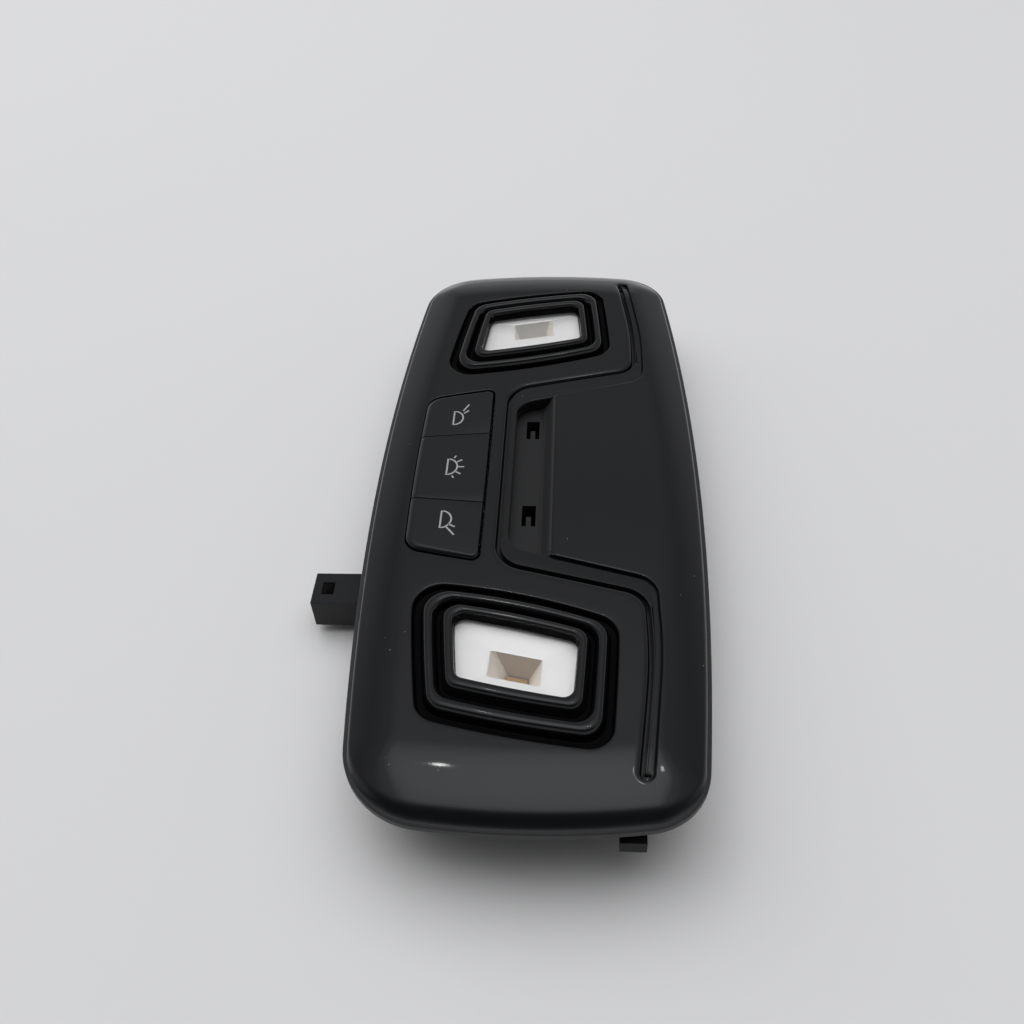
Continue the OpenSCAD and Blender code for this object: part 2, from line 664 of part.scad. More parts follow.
// Diodes: a pale case with a lit window on top
module diode(x, y, l, w, h) {
    translate([x, y, board_top_z])
        difference() {
            translate([-l / 2, -w / 2, 0]) cube([l, w, h]);
            translate([-l / 2 + l / 8, -w / 2 + w / 6, h - 0.15]) cube([l * 3 / 4, w * 2 / 3, 1]);
        }
}
module near_lamp_diode() {
    color([0.9, 0.75, 0.3])
    mirror([0, 1, 0]) translate([lamp_x, lamp_y, 0]) rotate([0, 0, funnel_turn]) diode(0, 0, diode_l, diode_w, diode_h);
}
module far_lamp_diode() {
    color([0.9, 0.75, 0.3])
    translate([lamp_x, lamp_y, 0]) rotate([0, 0, funnel_turn]) diode(0, 0, diode_l, diode_w, diode_h);
}
key_diode_x = stem_x - 6.5;
key_diode_l = 3.2;
key_diode_w = 1.6;
key_diode_h = 1.2;
module key_diode(index) {
    color([0.92, 0.9, 0.8])
    diode(key_diode_x, key_ys[index], key_diode_l, key_diode_w, key_diode_h);
}
module near_key_diode() {
    key_diode(0);
}
module middle_key_diode() {
    key_diode(1);
}
module far_key_diode() {
    key_diode(2);
}

module near_key() {
    color([0.03, 0.03, 0.035]) push_key(0);
}
module middle_key() {
    color([0.03, 0.03, 0.035]) push_key(1);
}
module far_key() {
    color([0.03, 0.03, 0.035]) push_key(2);
}

// Guide of the keys: an open frame on the board with a plate that holds the stems
guide_wall = 1.2;
guide_clear = 0.4;
guide_plate_top_z = key_bottom_z - key_travel - 0.2;
guide_plate_t = 1.8;
guide_top_z = face_under_z - 1.5;
light_window = 7;
module key_guide() {
    x0 = key_left_x - tab_reach + key_gap - guide_clear;
    x1 = key_right_x + tab_reach - key_gap + guide_clear;
    half = key_half_right + 0.8;
    color([0.75, 0.75, 0.73])
    difference() {
        translate([x0 - guide_wall, -half - guide_wall, board_top_z])
            cube([x1 - x0 + 2 * guide_wall, 2 * (half + guide_wall), guide_top_z - board_top_z]);
        translate([x0, -half, guide_plate_top_z]) cube([x1 - x0, 2 * half, face_z]);
        translate([x0, -half, board_top_z - 1])
            cube([x1 - x0, 2 * half, guide_plate_top_z - guide_plate_t - board_top_z + 1]);
        for (y = key_ys) {
            translate([stem_x, y, 0]) cylinder(h = face_z, r = stem_r + stem_clear, $fn = round_fn);
            translate([key_diode_x - light_window / 2, y - light_window / 2, 0])
                cube([light_window, light_window, face_z]);
        }
    }
}

// Push switches on the board
switch_side = 6;
switch_h = 3.8;
plunger_r = 1.6;
plunger_clear = 0.08;
plunger_l = 2.6;
module switch_base(index) {
    color([0.15, 0.15, 0.16])
    translate([stem_x, key_ys[index], board_top_z])
        difference() {
            translate([-switch_side / 2, -switch_side / 2, 0]) cube([switch_side, switch_side, switch_h]);
            translate([0, 0, stem_foot_z - board_top_z - plunger_l - key_travel - 0.2])
                cylinder(h = switch_h, r = plunger_r + plunger_clear, $fn = round_fn);
        }
}
module switch_plunger(index) {
    color([0.7, 0.7, 0.68])
    translate([stem_x, key_ys[index], stem_foot_z - plunger_l]) cylinder(h = plunger_l, r = plunger_r, $fn = round_fn);
}
module near_switch() {
    switch_base(0);
}
module middle_switch() {
    switch_base(1);
}
module far_switch() {
    switch_base(2);
}
module near_plunger() {
    switch_plunger(0);
}
module middle_plunger() {
    switch_plunger(1);
}
module far_plunger() {
    switch_plunger(2);
}

// Circuit board with holes for the contact pins
board_right_x = housing_w / 2 - 11;
board_half_l = housing_l / 2 - 14;
board_clear = 0.6;
pin_hole_clear = 0.1;
module circuit_board() {
    color([0.05, 0.25, 0.12])
    difference() {
        intersection() {
            translate([0, 0, board_bottom_z])
                linear_extrude(board_t)
                    polygon(face_outline(housing_w - 2 * housing_wall - 2 * board_clear,
                                         housing_l - 2 * housing_wall, housing_corner_r - housing_wall));
            translate([-50, -board_half_l, board_bottom_z - 1])
                cube([50 + board_right_x, 2 * board_half_l, board_t + 2]);
        }
        for (c = [0 : pin_columns - 1]) for (y = pin_ys())
            translate([pin_foot_x(c), y, board_bottom_z + board_t / 2])
                cube([pin_side + 2 * pin_hole_clear, pin_side + 2 * pin_hole_clear, board_t + 1], center = true);
    }
}

// Plug socket under the board's left edge, open to the left
socket_depth = 14;
socket_back_x = -housing_w / 2 + 1.5;
socket_floor_t = socket_reach - socket_depth + socket_back_x;
wing_end_x = 12 - housing_w / 2;
latch_l = 4;
latch_w = 4.4;
latch_x = 2.9 - socket_reach;
pin_slack = 0.04;
module plug_socket() {
    color([0.07, 0.07, 0.075])
    difference() {
        union() {
            translate([-socket_reach, socket_y - socket_w / 2, socket_bottom_z])
                cube([socket_depth + socket_floor_t, socket_w, socket_h]);
            for (side = [-1, 1])
                translate([socket_back_x - 1, socket_y + side * (socket_w - socket_wall) / 2 - socket_wall / 2,
                           socket_bottom_z])
                    cube([wing_end_x - socket_back_x + 1, socket_wall, socket_h]);
        }
        translate([-socket_reach - 1, socket_y - socket_w / 2 + socket_wall, socket_bottom_z + socket_wall])
            cube([socket_depth + 1, socket_w - 2 * socket_wall, socket_h - 2 * socket_wall]);
        translate([latch_x - latch_l / 2, socket_y - latch_w / 2, socket_top_z - socket_wall - 1])
            cube([latch_l, latch_w, socket_wall + 2]);
        for (c = [0 : pin_columns - 1]) for (y = pin_ys())
            translate([pin_tip_x, y - pin_side / 2 - pin_slack, pin_z(c) - pin_slack])
                cube([pin_foot_x(c) - pin_tip_x, pin_side + 2 * pin_slack, pin_side + 2 * pin_slack]);
    }
}

// Contact pins: two rows that turn up into the board
pin_columns = 2;
pin_pitch = 2.5;
pin_tip_x = 6.2 - socket_reach;
pin_stand = 0.8;
pin_row_step = 3;
function pin_ys() = [for (i = [0 : pins_per_row - 1]) socket_y + (i - (pins_per_row - 1) / 2) * pin_pitch];
function pin_foot_x(column) = 9.5 - housing_w / 2 - column * pin_pitch;
function pin_z(column) = socket_bottom_z + pin_row_step * (1 + column);
module contact_pins() {
    color([0.8, 0.7, 0.35])
    for (c = [0 : pin_columns - 1]) for (y = pin_ys()) {
        translate([pin_tip_x, y - pin_side / 2, pin_z(c)])
            cube([pin_foot_x(c) - pin_tip_x + pin_side / 2, pin_side, pin_side]);
        translate([pin_foot_x(c) - pin_side / 2, y - pin_side / 2, pin_z(c)])
            cube([pin_side, pin_side, board_top_z + pin_stand - pin_z(c)]);
    }
}

// Screws from the back into the bosses of the face
screw_head_h = 1.8;
screw_end_z = pilot_top_z - 0.4;
module housing_screws() {
    color([0.6, 0.6, 0.62])
    at_screws() {
        difference() {
            translate([0, 0, head_seat_z - screw_head_h]) cylinder(h = screw_head_h, r = screw_head_r, $fn = round_fn);
            translate([0, 0, head_seat_z - screw_head_h - eps]) cylinder(h = 1.2, r = 1.3, $fn = 6);
        }
        translate([0, 0, head_seat_z - eps]) cylinder(h = screw_end_z - head_seat_z, r = pilot_r - 0.02, $fn = round_fn);
    }
}

// Spring clips on the housing's long sides
clip_ys = [-62, 62];
clip_w = 12;
clip_t = 0.6;
clip_z = 4;
clip_h = 14;
clip_bulge = 3.6;
module retaining_clips() {
    color([0.75, 0.75, 0.78])
    for (side = [0, 1]) for (y = clip_ys)
        mirror([side, 0, 0])
            translate([housing_w / 2 - side_arc_r, 0, 0])
                rotate([0, 0, asin(y / side_arc_r)])
                    translate([side_arc_r, 0, 0])
                        rotate([90, 0, 0])
                            linear_extrude(clip_w, center = true)
                                polygon([[0, clip_z], [clip_t, clip_z], [clip_t, clip_z + clip_h - 1],
                                         [clip_bulge, clip_z + clip_h / 2], [1.6, clip_z + 2],
                                         [2.1, clip_z + 1.6], [clip_bulge + clip_t, clip_z + clip_h / 2],
                                         [clip_t + 0.5, clip_z + clip_h], [0, clip_z + clip_h]]);
}

bezel();
carrier_frame();
rear_housing();
near_lens();
far_lens();
near_reflector();
far_reflector();
near_lamp_diode();
far_lamp_diode();
near_key();
middle_key();
far_key();
key_guide();
near_switch();
middle_switch();
far_switch();
near_plunger();
middle_plunger();
far_plunger();
near_key_diode();
middle_key_diode();
far_key_diode();
circuit_board();
plug_socket();
contact_pins();
housing_screws();
retaining_clips();
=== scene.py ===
"""Roof console light: the finished surfaces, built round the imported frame."""

import math

import bmesh
import bpy
from mathutils import Euler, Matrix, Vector
from mathutils.geometry import delaunay_2d_cdt


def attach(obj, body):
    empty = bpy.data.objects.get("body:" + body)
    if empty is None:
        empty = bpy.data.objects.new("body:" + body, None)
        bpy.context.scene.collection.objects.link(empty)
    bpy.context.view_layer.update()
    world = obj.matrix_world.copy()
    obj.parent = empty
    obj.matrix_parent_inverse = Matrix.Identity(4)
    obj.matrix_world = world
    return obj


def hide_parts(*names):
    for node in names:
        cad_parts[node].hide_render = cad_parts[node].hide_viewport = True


bl_info = {
    "name": "Roof console light",
    "version": (1, 0, 0),
    "blender": (4, 5, 0),
    "location": "3D View > Sidebar > Roof light",
    "description": "Builds the finished surfaces of a roof console light and its stage",
    "category": "Object",
}

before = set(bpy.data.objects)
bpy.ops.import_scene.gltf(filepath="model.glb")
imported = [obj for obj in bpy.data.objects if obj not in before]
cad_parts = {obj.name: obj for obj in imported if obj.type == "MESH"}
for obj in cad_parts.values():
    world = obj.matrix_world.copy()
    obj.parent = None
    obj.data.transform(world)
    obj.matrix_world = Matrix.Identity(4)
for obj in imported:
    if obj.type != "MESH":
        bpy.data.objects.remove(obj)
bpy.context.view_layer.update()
MM = 0.001


# ---- Sizes and colours that a user may change ----


def number(name, description, default, **more):
    """A number that a user may change."""
    return bpy.props.FloatProperty(name=name, description=description, default=default, **more)


def colour(name, description, default):
    """A colour that a user may change."""
    return bpy.props.FloatVectorProperty(name=name, description=description, subtype="COLOR", default=default)


class FaceSizes(bpy.types.PropertyGroup):
    """Sizes of the glossy face, in millimetres as in the part's source."""

    width: number("Width", "Width of the glossy face", 92.0)
    length: number("Length", "Length of the glossy face", 218.0)
    top: number("Top", "Height of the flat part of the face", 30.0)
    edge: number("Edge", "Height of the face's rim", 24.6)
    side_radius: number("Side radius", "Radius of the long sides", 870.0)
    end_radius: number("End radius", "Radius of the ends", 200.0)
    corner_radii: bpy.props.FloatVectorProperty(
        name="Corner radii", size=4, default=(20.5, 15.0, 16.0, 18.0),
        description="Radii of the near left, near right, far right and far left corners")
    side_slope: number("Side slope", "Width of the slope at the sides", 12.0)
    end_slope: number("End slope", "Width of the slope at the ends", 18.1)
    side_drop: number("Side drop", "Drop over the side slopes", 4.7)
    end_drop: number("End drop", "Drop over the end slopes", 4.7)
    side_roll: number("Side roll", "Width of the rolled rim at the sides", 0.8)
    end_roll: number("End roll", "Width of the rolled rim at the ends", 3.6)
    crown: number("Crown", "How far the flat part is crowned", 0.22)
    floor: number("Recess floor", "Height of the recess floor", 25.0)
    lip: number("Lip", "Width of the carrier's lip round the face", 1.0)


class Finishes(bpy.types.PropertyGroup):
    """Colours of the visible materials."""

    face: colour("Face", "Colour of the glossy face", (0.0045, 0.0048, 0.0056))
    keys: colour("Keys", "Colour of the keys", (0.0062, 0.0066, 0.0075))
    lip: colour("Lip", "Colour of the carrier's lip", (0.025, 0.0253, 0.0264))
    housing: colour("Housing", "Colour of the rear housing", (0.0065, 0.0068, 0.0076))
    dish: colour("Dish", "Colour of the reflectors", (0.93, 0.92, 0.91))
    symbols: colour("Symbols", "Colour of the key symbols", (0.34, 0.345, 0.355))


class StageSettings(bpy.types.PropertyGroup):
    """The floor, the lamps and the camera."""

    floor_colour: colour("Floor colour", "Colour of the plain floor", (0.71, 0.708, 0.712))
    lamp_power: number("Lamp power", "Power that the lamps have shares of", 8.0, unit="POWER")
    camera_lens: number("Camera lens", "Focal length of the camera", 35.15625, unit="CAMERA")


# ---- Plan geometry, in millimetres ----


def arc_points(centre, radius, start, end, count):
    """Points on an arc, both ends included."""
    return [(centre[0] + radius * math.cos(start + (end - start) * i / count),
             centre[1] + radius * math.sin(start + (end - start) * i / count)) for i in range(count + 1)]


def circle_cross(c1, r1, c2, r2, near):
    """The crossing of two circles that lies nearer to a point."""
    dx, dy = c2[0] - c1[0], c2[1] - c1[1]
    d = math.hypot(dx, dy)
    a = (r1 * r1 - r2 * r2 + d * d) / (2 * d)
    h = math.sqrt(max(0.0, r1 * r1 - a * a))
    base = (c1[0] + a * dx / d, c1[1] + a * dy / d)
    found = [(base[0] - s * h * dy / d, base[1] + s * h * dx / d) for s in (-1, 1)]
    return min(found, key=lambda p: math.hypot(p[0] - near[0], p[1] - near[1]))


def mirrored(outline):
    """An outline or half of one, mirrored to the near side."""
    return [(x, -y) for x, y in reversed(outline)]


# Steps in which each fillet and each side of an outline is divided
FACE_STEPS, RING_STEPS, KEY_STEPS = (16, 80), (12, 16), (10, 24)


def bulged_outline(corners, arcs, radii, steps):
    """Closed outline of four bulged sides with round corners, anticlockwise."""
    fillet_n, side_n = steps
    centres = []
    for i in range(4):
        a, b = corners[i], corners[(i + 1) % 4]
        dx, dy = b[0] - a[0], b[1] - a[1]
        length = math.hypot(dx, dy)
        h = math.sqrt(arcs[i] ** 2 - length ** 2 / 4)
        centres.append(((a[0] + b[0]) / 2 - dy / length * h, (a[1] + b[1]) / 2 + dx / length * h))
    fillets = [circle_cross(centres[i - 1], arcs[i - 1] - radii[i], centres[i], arcs[i] - radii[i], corners[i])
               for i in range(4)]

    def turn(p, q):
        return math.atan2(q[1] - p[1], q[0] - p[0])

    out = []
    for i in range(4):
        f, k = fillets[i], (i + 1) % 4
        a0, a1 = turn(centres[i - 1], f), turn(centres[i], f)
        a1 += 2 * math.pi if a1 < a0 else 0
        out += arc_points(f, radii[i], a0, a1, fillet_n)
        b0, b1 = turn(centres[i], f), turn(centres[i], fillets[k])
        b1 += 2 * math.pi if b1 < b0 else 0
        out += arc_points(centres[i], arcs[i], b0, b1, side_n)[1:-1]
    return out


def face_outline(sizes, inset):
    """Outline of the face, moved inwards by inset."""
    w, l = sizes.width / 2 - inset, sizes.length / 2 - inset
    rs, re = sizes.side_radius - inset, sizes.end_radius - inset
    q = circle_cross((w - rs, 0), rs, (0, l - re), re, (w, l))
    radii = [radius - inset for radius in sizes.corner_radii]
    corners = [(-q[0], -q[1]), (q[0], -q[1]), q, (-q[0], q[1])]
    return bulged_outline(corners, [re, rs, re, rs], radii, FACE_STEPS)


def blend_outlines(a, b, t):
    """Outline part of the way from one outline to another."""
    return [(p[0] + (q[0] - p[0]) * t, p[1] + (q[1] - p[1]) * t) for p, q in zip(a, b)]


BAND_LEFT = [(25.3, 98.3), (29.1, 66), (28.6, 47), (-10.3, 36.9)]
BAND_RIGHT = [(-6.9, 30.2), (32.3, 41.4), (32.7, 64), (28.9, 98.3)]
BAND_CORNERS = BAND_LEFT + mirrored(BAND_LEFT) + mirrored(BAND_RIGHT) + BAND_RIGHT
BAND_RADII = [1.7, 150, 6.5, 9, 9, 6.5, 150, 1.7, 1.7, 150, 7, 6.5, 6.5, 7, 150, 1.7]
BAND_FILLET, BAND_STEP, LEAST_RADIUS = 9, 1.5, 0.06


def band_outline(inset):
    """Closed outline of the channel: straight sides, round corners, moved inwards.

    Returns the points, each with its place: the number of the corner it
    belongs to, and the share of the way past that corner.
    """
    corners, n = BAND_CORNERS, len(BAND_CORNERS)
    dirs = [Vector((b[0] - a[0], b[1] - a[1])).normalized() for a, b in zip(corners, corners[1:] + corners[:1])]
    fillets = []
    for i in range(n):
        p, q = dirs[i - 1], dirs[i]
        a, b = (Vector(corners[i]) + Vector((-d.y, d.x)) * inset for d in (p, q))
        cross = p.x * q.y - p.y * q.x
        if abs(cross) >= 1e-9:
            a = a + p * (((b.x - a.x) * q.y - (b.y - a.y) * q.x) / cross)
        side = 1 if cross > 0 else -1
        radius = max(LEAST_RADIUS, BAND_RADII[i] - side * inset)
        angle = math.acos(max(-1.0, min(1.0, p.dot(q))))
        first = a - p * (radius * math.tan(angle / 2))
        centre = first + Vector((-p.y, p.x)) * side * radius
        arm = first - centre
        start = math.atan2(arm.y, arm.x)
        fillets.append((centre, radius, start, start + side * angle))
    out = []
    for i in range(n):
        arc = arc_points(*fillets[i], BAND_FILLET)
        out += [(p, i, j / BAND_FILLET * 0.5) for j, p in enumerate(arc)]
        a, b = Vector(arc[-1]), Vector(arc_points(*fillets[(i + 1) % n], BAND_FILLET)[0])
        span = Vector(corners[(i + 1) % n]) - Vector(corners[i])
        count = max(2, int(span.length / BAND_STEP))
        out += [(tuple(a.lerp(b, j / count)), i, 0.5 + 0.5 * j / count) for j in range(1, count)]
    return out


def inside(p, outline):
    """Whether a point lies inside a closed outline."""
    x, y = p
    hit = False
    x0, y0 = outline[-1]
    for x1, y1 in outline:
        if (y1 > y) != (y0 > y) and x < (x0 - x1) * (y - y1) / (y0 - y1) + x1:
            hit = not hit
        x0, y0 = x1, y1
    return hit


def profile_at(profile, d):
    """Straight interpolation in a list of (distance, height)."""
    if d <= profile[0][0]:
        return profile[0][1]
    for (a, za), (b, zb) in zip(profile, profile[1:]):
        if d <= b:
            return za + (zb - za) * (d - a) / (b - a)
    return profile[-1][1]


def rounded_profile(points, radius, arc_n=5):
    """An open profile with every inner corner rounded."""
    out = [points[0]]
    for i in range(1, len(points) - 1):
        a, b, c = (Vector(p) for p in points[i - 1:i + 2])
        u, v = (a - b), (c - b)
        reach = min(radius, u.length * 0.48, v.length * 0.48)
        p, q = b + u.normalized() * reach, b + v.normalized() * reach
        for k in range(arc_n + 1):
            t = k / arc_n
            out.append(tuple(p * (1 - t) ** 2 + b * 2 * t * (1 - t) + q * t * t))
    out.append(points[-1])
    return out


LAMP_X, LAMP_Y = -3.3, 66.5
RAMP_TOP = 5.3
RAMP_STEPS = ((0.8, 0.0), (1.3, 0.03), (1.9, 0.14), (2.6, 0.34), (3.3, 0.58), (3.9, 0.78), (4.4, 0.905),
              (4.9, 0.972), (5.6, 1.0))
SLOTS = ((22.1, 8.0), (-14.7, 8.0))
SLOT_X, SLOT_W, TONGUE_W, TONGUE_L = -1.95, 3.9, 1.4, 3.6
KEY_LEFT, KEY_RIGHT, KEY_HALF_LEFT, KEY_HALF_RIGHT = -34.9, -14.1, 31.8, 36.4


def ring_outline(side, share):
    """Outline in a lamp's stepped rings: share 0 is the outer edge, 1 the window."""
    x, y = LAMP_X, LAMP_Y
    outer = bulged_outline(
        [(x - 27.7, y - 23.1), (x + 25.6, y - 11), (x + 23.2, y + 25.8), (x - 22.3, y + 17.9)],
        [160, 700, 240, 450], [7.5, 7, 6, 6.5], RING_STEPS)
    narrower, shorter = (0.55, 1.0) if side < 0 else (0.0, -0.3)
    window = bulged_outline(
        [(x - 16.3 + narrower, y - 12.2), (x + 15.8 - narrower, y - 4.9),
         (x + 14.5 - narrower, y + 13.8 - shorter), (x - 14.2 + narrower, y + 8.1 - shorter)],
        [260, 500, 260, 400], [2.6] * 4, RING_STEPS)
    out = blend_outlines(outer, window, share)
    return out if side > 0 else mirrored(out)


def key_outline(left, ends, right):
    """Outline of the key opening, moved inwards by a distance on each side."""
    x0, x1 = KEY_LEFT + left, KEY_RIGHT - right
    y0, y1 = KEY_HALF_LEFT - ends, KEY_HALF_RIGHT - ends
    left_radius, right_radius = 5.5 - min(3, left), 2.2 - min(1, right)
    return bulged_outline([(x0, -y0), (x1, -y1), (x1, y1), (x0, y0)], [400, 4000, 400, 900],
                          [left_radius, right_radius, right_radius, left_radius], KEY_STEPS)


def soft_max(*values):
    """The largest of some drops, with a soft change from one to the next."""
    return sum(max(0.0, v) ** 4 for v in values) ** 0.25


SIDE_BEND, END_BEND, CORNER_BEND, ROLL_BEND = 1.5, 1.7, 1.6, 2.2
CORNER_SLOPE, CORNER_SPARE = 11.0, 2
CROWN_X, CROWN_Y = 30, 100


def face_height(sizes, x, y):
    """Height of the smooth face before its grooves and ridges."""
    ax, ay = abs(x), abs(y)
    rs, re = sizes.side_radius, sizes.end_radius
    r = sizes.corner_radii[(0 if x < 0 else 1) if y < 0 else (3 if x < 0 else 2)]
    w, l = sizes.width / 2, sizes.length / 2
    d_side = rs - math.hypot(ax + rs - w, y)
    d_end = re - math.hypot(x, ay + re - l)
    drops = [sizes.side_drop * max(0.0, 1 - d_side / sizes.side_slope) ** SIDE_BEND,
             sizes.end_drop * max(0.0, 1 - d_end / sizes.end_slope) ** END_BEND]
    d = min(d_side, d_end)
    roll_width = sizes.end_roll if d_end < d_side else sizes.side_roll
    if max(d_side, d_end) < r + CORNER_SPARE:
        f = circle_cross((w - rs, 0), rs - r, (0, l - re), re - r, (w, l))
        u = Vector((f[0] - (w - rs), f[1])).normalized()
        v = Vector((f[0], f[1] - (l - re))).normalized()
        p = Vector((ax - f[0], ay - f[1]))
        det = u.x * v.y - u.y * v.x
        along_u, along_v = (p.x * v.y - p.y * v.x) / det, (u.x * p.y - u.y * p.x) / det
        if along_u > 0 and along_v > 0:
            d = r - p.length
            share = along_v / (along_u + along_v)
            bulge = 4 * share * (1 - share)
            share = share * share * (3 - 2 * share)
            roll_width = sizes.side_roll + (sizes.end_roll - sizes.side_roll) * share
            drops.append(sizes.side_drop * max(0.0, 1 - d / CORNER_SLOPE) ** CORNER_BEND * bulge)
    slope = soft_max(*drops)
    full = sizes.top - sizes.edge
    roll = max(0.0, 1 - max(0.0, d) / roll_width) ** ROLL_BEND
    drop = slope + max(0.0, full - slope) * roll
    crown = sizes.crown * ((x / CROWN_X) ** 2 + (y / CROWN_Y) ** 2)
    return sizes.top - drop - crown * max(0.0, 1 - drop / full)


# ---- Mesh helpers ----


def finish_mesh(name, bm, looks, body, replaced, angle=None):
    """Turns a bmesh in millimetres into a piece that rides on a body.

    Its faces are smooth up to the given angle, or stay as they are.
    """
    bmesh.ops.scale(bm, vec=(MM, MM, MM), verts=bm.verts)
    mesh = bpy.data.meshes.new(name)
    bm.to_mesh(mesh)
    bm.free()
    for look in looks:
        mesh.materials.append(bpy.data.materials[look])
    if angle:
        mesh.shade_smooth()
        mesh.set_sharp_from_angle(angle=math.radians(angle))
    obj = bpy.data.objects.new(name, mesh)
    bpy.context.scene.collection.objects.link(obj)
    if replaced:
        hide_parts(*replaced)
    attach(obj, body)


def weld(bm):
    """Joins points that coincide and turns all faces outwards."""
    bmesh.ops.remove_doubles(bm, verts=bm.verts, dist=1e-3)
    bmesh.ops.recalc_face_normals(bm, faces=bm.faces)


def loft(bm, loops, material=0):
    """A surface through closed loops that have as many points each, by extruding edges.

    Returns the edges of its last loop, and its faces loop by loop.
    """
    verts = [bm.verts.new(p) for p in loops[0]]
    edges = [bm.edges.new((verts[i], verts[(i + 1) % len(verts)])) for i in range(len(verts))]
    made = []
    for points in loops[1:]:
        result = bmesh.ops.extrude_edge_only(bm, edges=edges)
        fresh = {v for v in result["geom"] if isinstance(v, bmesh.types.BMVert)}
        verts = [next(e.other_vert(v) for e in v.link_edges if e.other_vert(v) in fresh) for v in verts]
        for v, p in zip(verts, points):
            v.co = p
        edges = [bm.edges.get((verts[i], verts[(i + 1) % len(verts)])) for i in range(len(verts))]
        faces = [g for g in result["geom"] if isinstance(g, bmesh.types.BMFace)]
        for face in faces:
            face.material_index = material
        made += faces
    return edges, made


def capped_loft(loops):
    """A bmesh with a surface through closed loops and a face in the last one."""
    bm = bmesh.new()
    last, _ = loft(bm, loops)
    bmesh.ops.contextual_create(bm, geom=last)
    bmesh.ops.recalc_face_normals(bm, faces=bm.faces)
    return bm


def at_z(outline, z):
    """An outline lifted to one height."""
    return [(p[0], p[1], z) for p in outline]


def bevel(bm, edges, width, segments):
    """Rounds edges."""
    bmesh.ops.bevel(bm, geom=edges, offset=width, offset_type="OFFSET", segments=segments, profile=0.5,
                    affect="EDGES", clamp_overlap=True, material=-1)


WELD, FLAT_ANGLE, SHARP_ANGLE, SMOOTH_SHARE = 1e-4, 1.0, 28.0, 20


def softened(node, width, moved=()):
    """A copy of a CAD node, in millimetres, with its sharp edges rounded.

    Each entry of moved is a box, by its low and high corners, and the step by
    which the vertices in it are moved first.
    """
    bm = bmesh.new()
    bm.from_mesh(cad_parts[node].data)
    bmesh.ops.scale(bm, vec=[1000] * 3, verts=bm.verts)
    bmesh.ops.remove_doubles(bm, verts=bm.verts, dist=WELD)
    bmesh.ops.dissolve_limit(bm, angle_limit=math.radians(FLAT_ANGLE), verts=bm.verts, edges=bm.edges)
    for low, high, step in moved:
        bmesh.ops.translate(bm, vec=step, verts=[
            v for v in bm.verts if all(a < c < b for a, c, b in zip(low, v.co, high))])
    sharp = [e for e in bm.edges if len(e.link_faces) == 2 and e.calc_face_angle() > math.radians(SHARP_ANGLE)]
    bevel(bm, sharp, width, 2)
    for face in bm.faces:
        face.smooth = face.calc_area() < width * SMOOTH_SHARE and len(face.verts) == 4
    return bm


# ---- Shared effects ----


def node_group(name, inputs, outputs):
    """An empty shader node group with named sockets."""
    group = bpy.data.node_groups.new(name, "ShaderNodeTree")
    for label, kind, default in inputs:
        socket = group.interface.new_socket(name=label, in_out="INPUT", socket_type=kind)
        socket.default_value = default
    for label, kind in outputs:
        group.interface.new_socket(name=label, in_out="OUTPUT", socket_type=kind)
    start = group.nodes.new("NodeGroupInput")
    end = group.nodes.new("NodeGroupOutput")
    coords = group.nodes.new("ShaderNodeTexCoord")
    return group, start, end, coords


def feed(tree, value, socket):
    """Puts a plain value or a link on an input."""
    if isinstance(value, (int, float, tuple)):
        socket.default_value = value
    else:
        tree.links.new(value, socket)


def set_inputs(node, values):
    """Sets plain values on a node's inputs, by their names."""
    for label, value in values.items():
        node.inputs[label].default_value = value


def math_node(tree, kind, a, b, clamp=False):
    """A Math node with links or plain values on its inputs."""
    node = tree.nodes.new("ShaderNodeMath")
    node.operation = kind
    node.use_clamp = clamp
    feed(tree, a, node.inputs[0])
    feed(tree, b, node.inputs[1])
    return node.outputs[0]


def noise_node(tree, coords, scale, detail, rough=0.5):
    """A noise texture on object coordinates."""
    node = tree.nodes.new("ShaderNodeTexNoise")
    set_inputs(node, {"Detail": detail, "Roughness": rough})
    tree.links.new(coords.outputs["Object"], node.inputs["Vector"])
    feed(tree, scale, node.inputs["Scale"])
    return node.outputs["Fac"]


def mix_node(tree, kind, factor, a, b):
    """A mix of two colours, each a link or a plain value."""
    node = tree.nodes.new("ShaderNodeMix")
    node.data_type = "RGBA"
    node.blend_type = kind
    for label, value in (("Factor", factor), ("A", a), ("B", b)):
        feed(tree, value, node.inputs[label])
    return node.outputs["Result"]


def make_mould_grain():
    """Fine grain of moulded plastic: a height and a slight change of shade."""
    group, start, end, coords = node_group(
        "Mould grain",
        [("Scale", "NodeSocketFloat", 2500.0), ("Colour", "NodeSocketColor", (0.1, 0.1, 0.1, 1)),
         ("Variation", "NodeSocketFloat", 0.12)],
        [("Colour", "NodeSocketColor"), ("Height", "NodeSocketFloat")])
    fine = noise_node(group, coords, start.outputs["Scale"], 3.0, 0.6)
    broad = noise_node(group, coords, 55.0, 3.0)
    shade = math_node(group, "MULTIPLY", math_node(group, "SUBTRACT", broad, 0.5), start.outputs["Variation"])
    speck = math_node(group, "MULTIPLY", math_node(group, "SUBTRACT", fine, 0.5), start.outputs["Variation"])
    value = math_node(group, "ADD", math_node(group, "ADD", shade, speck), 1.0)
    group.links.new(mix_node(group, "MULTIPLY", 1.0, start.outputs["Colour"], value), end.inputs["Colour"])
    group.links.new(fine, end.inputs["Height"])


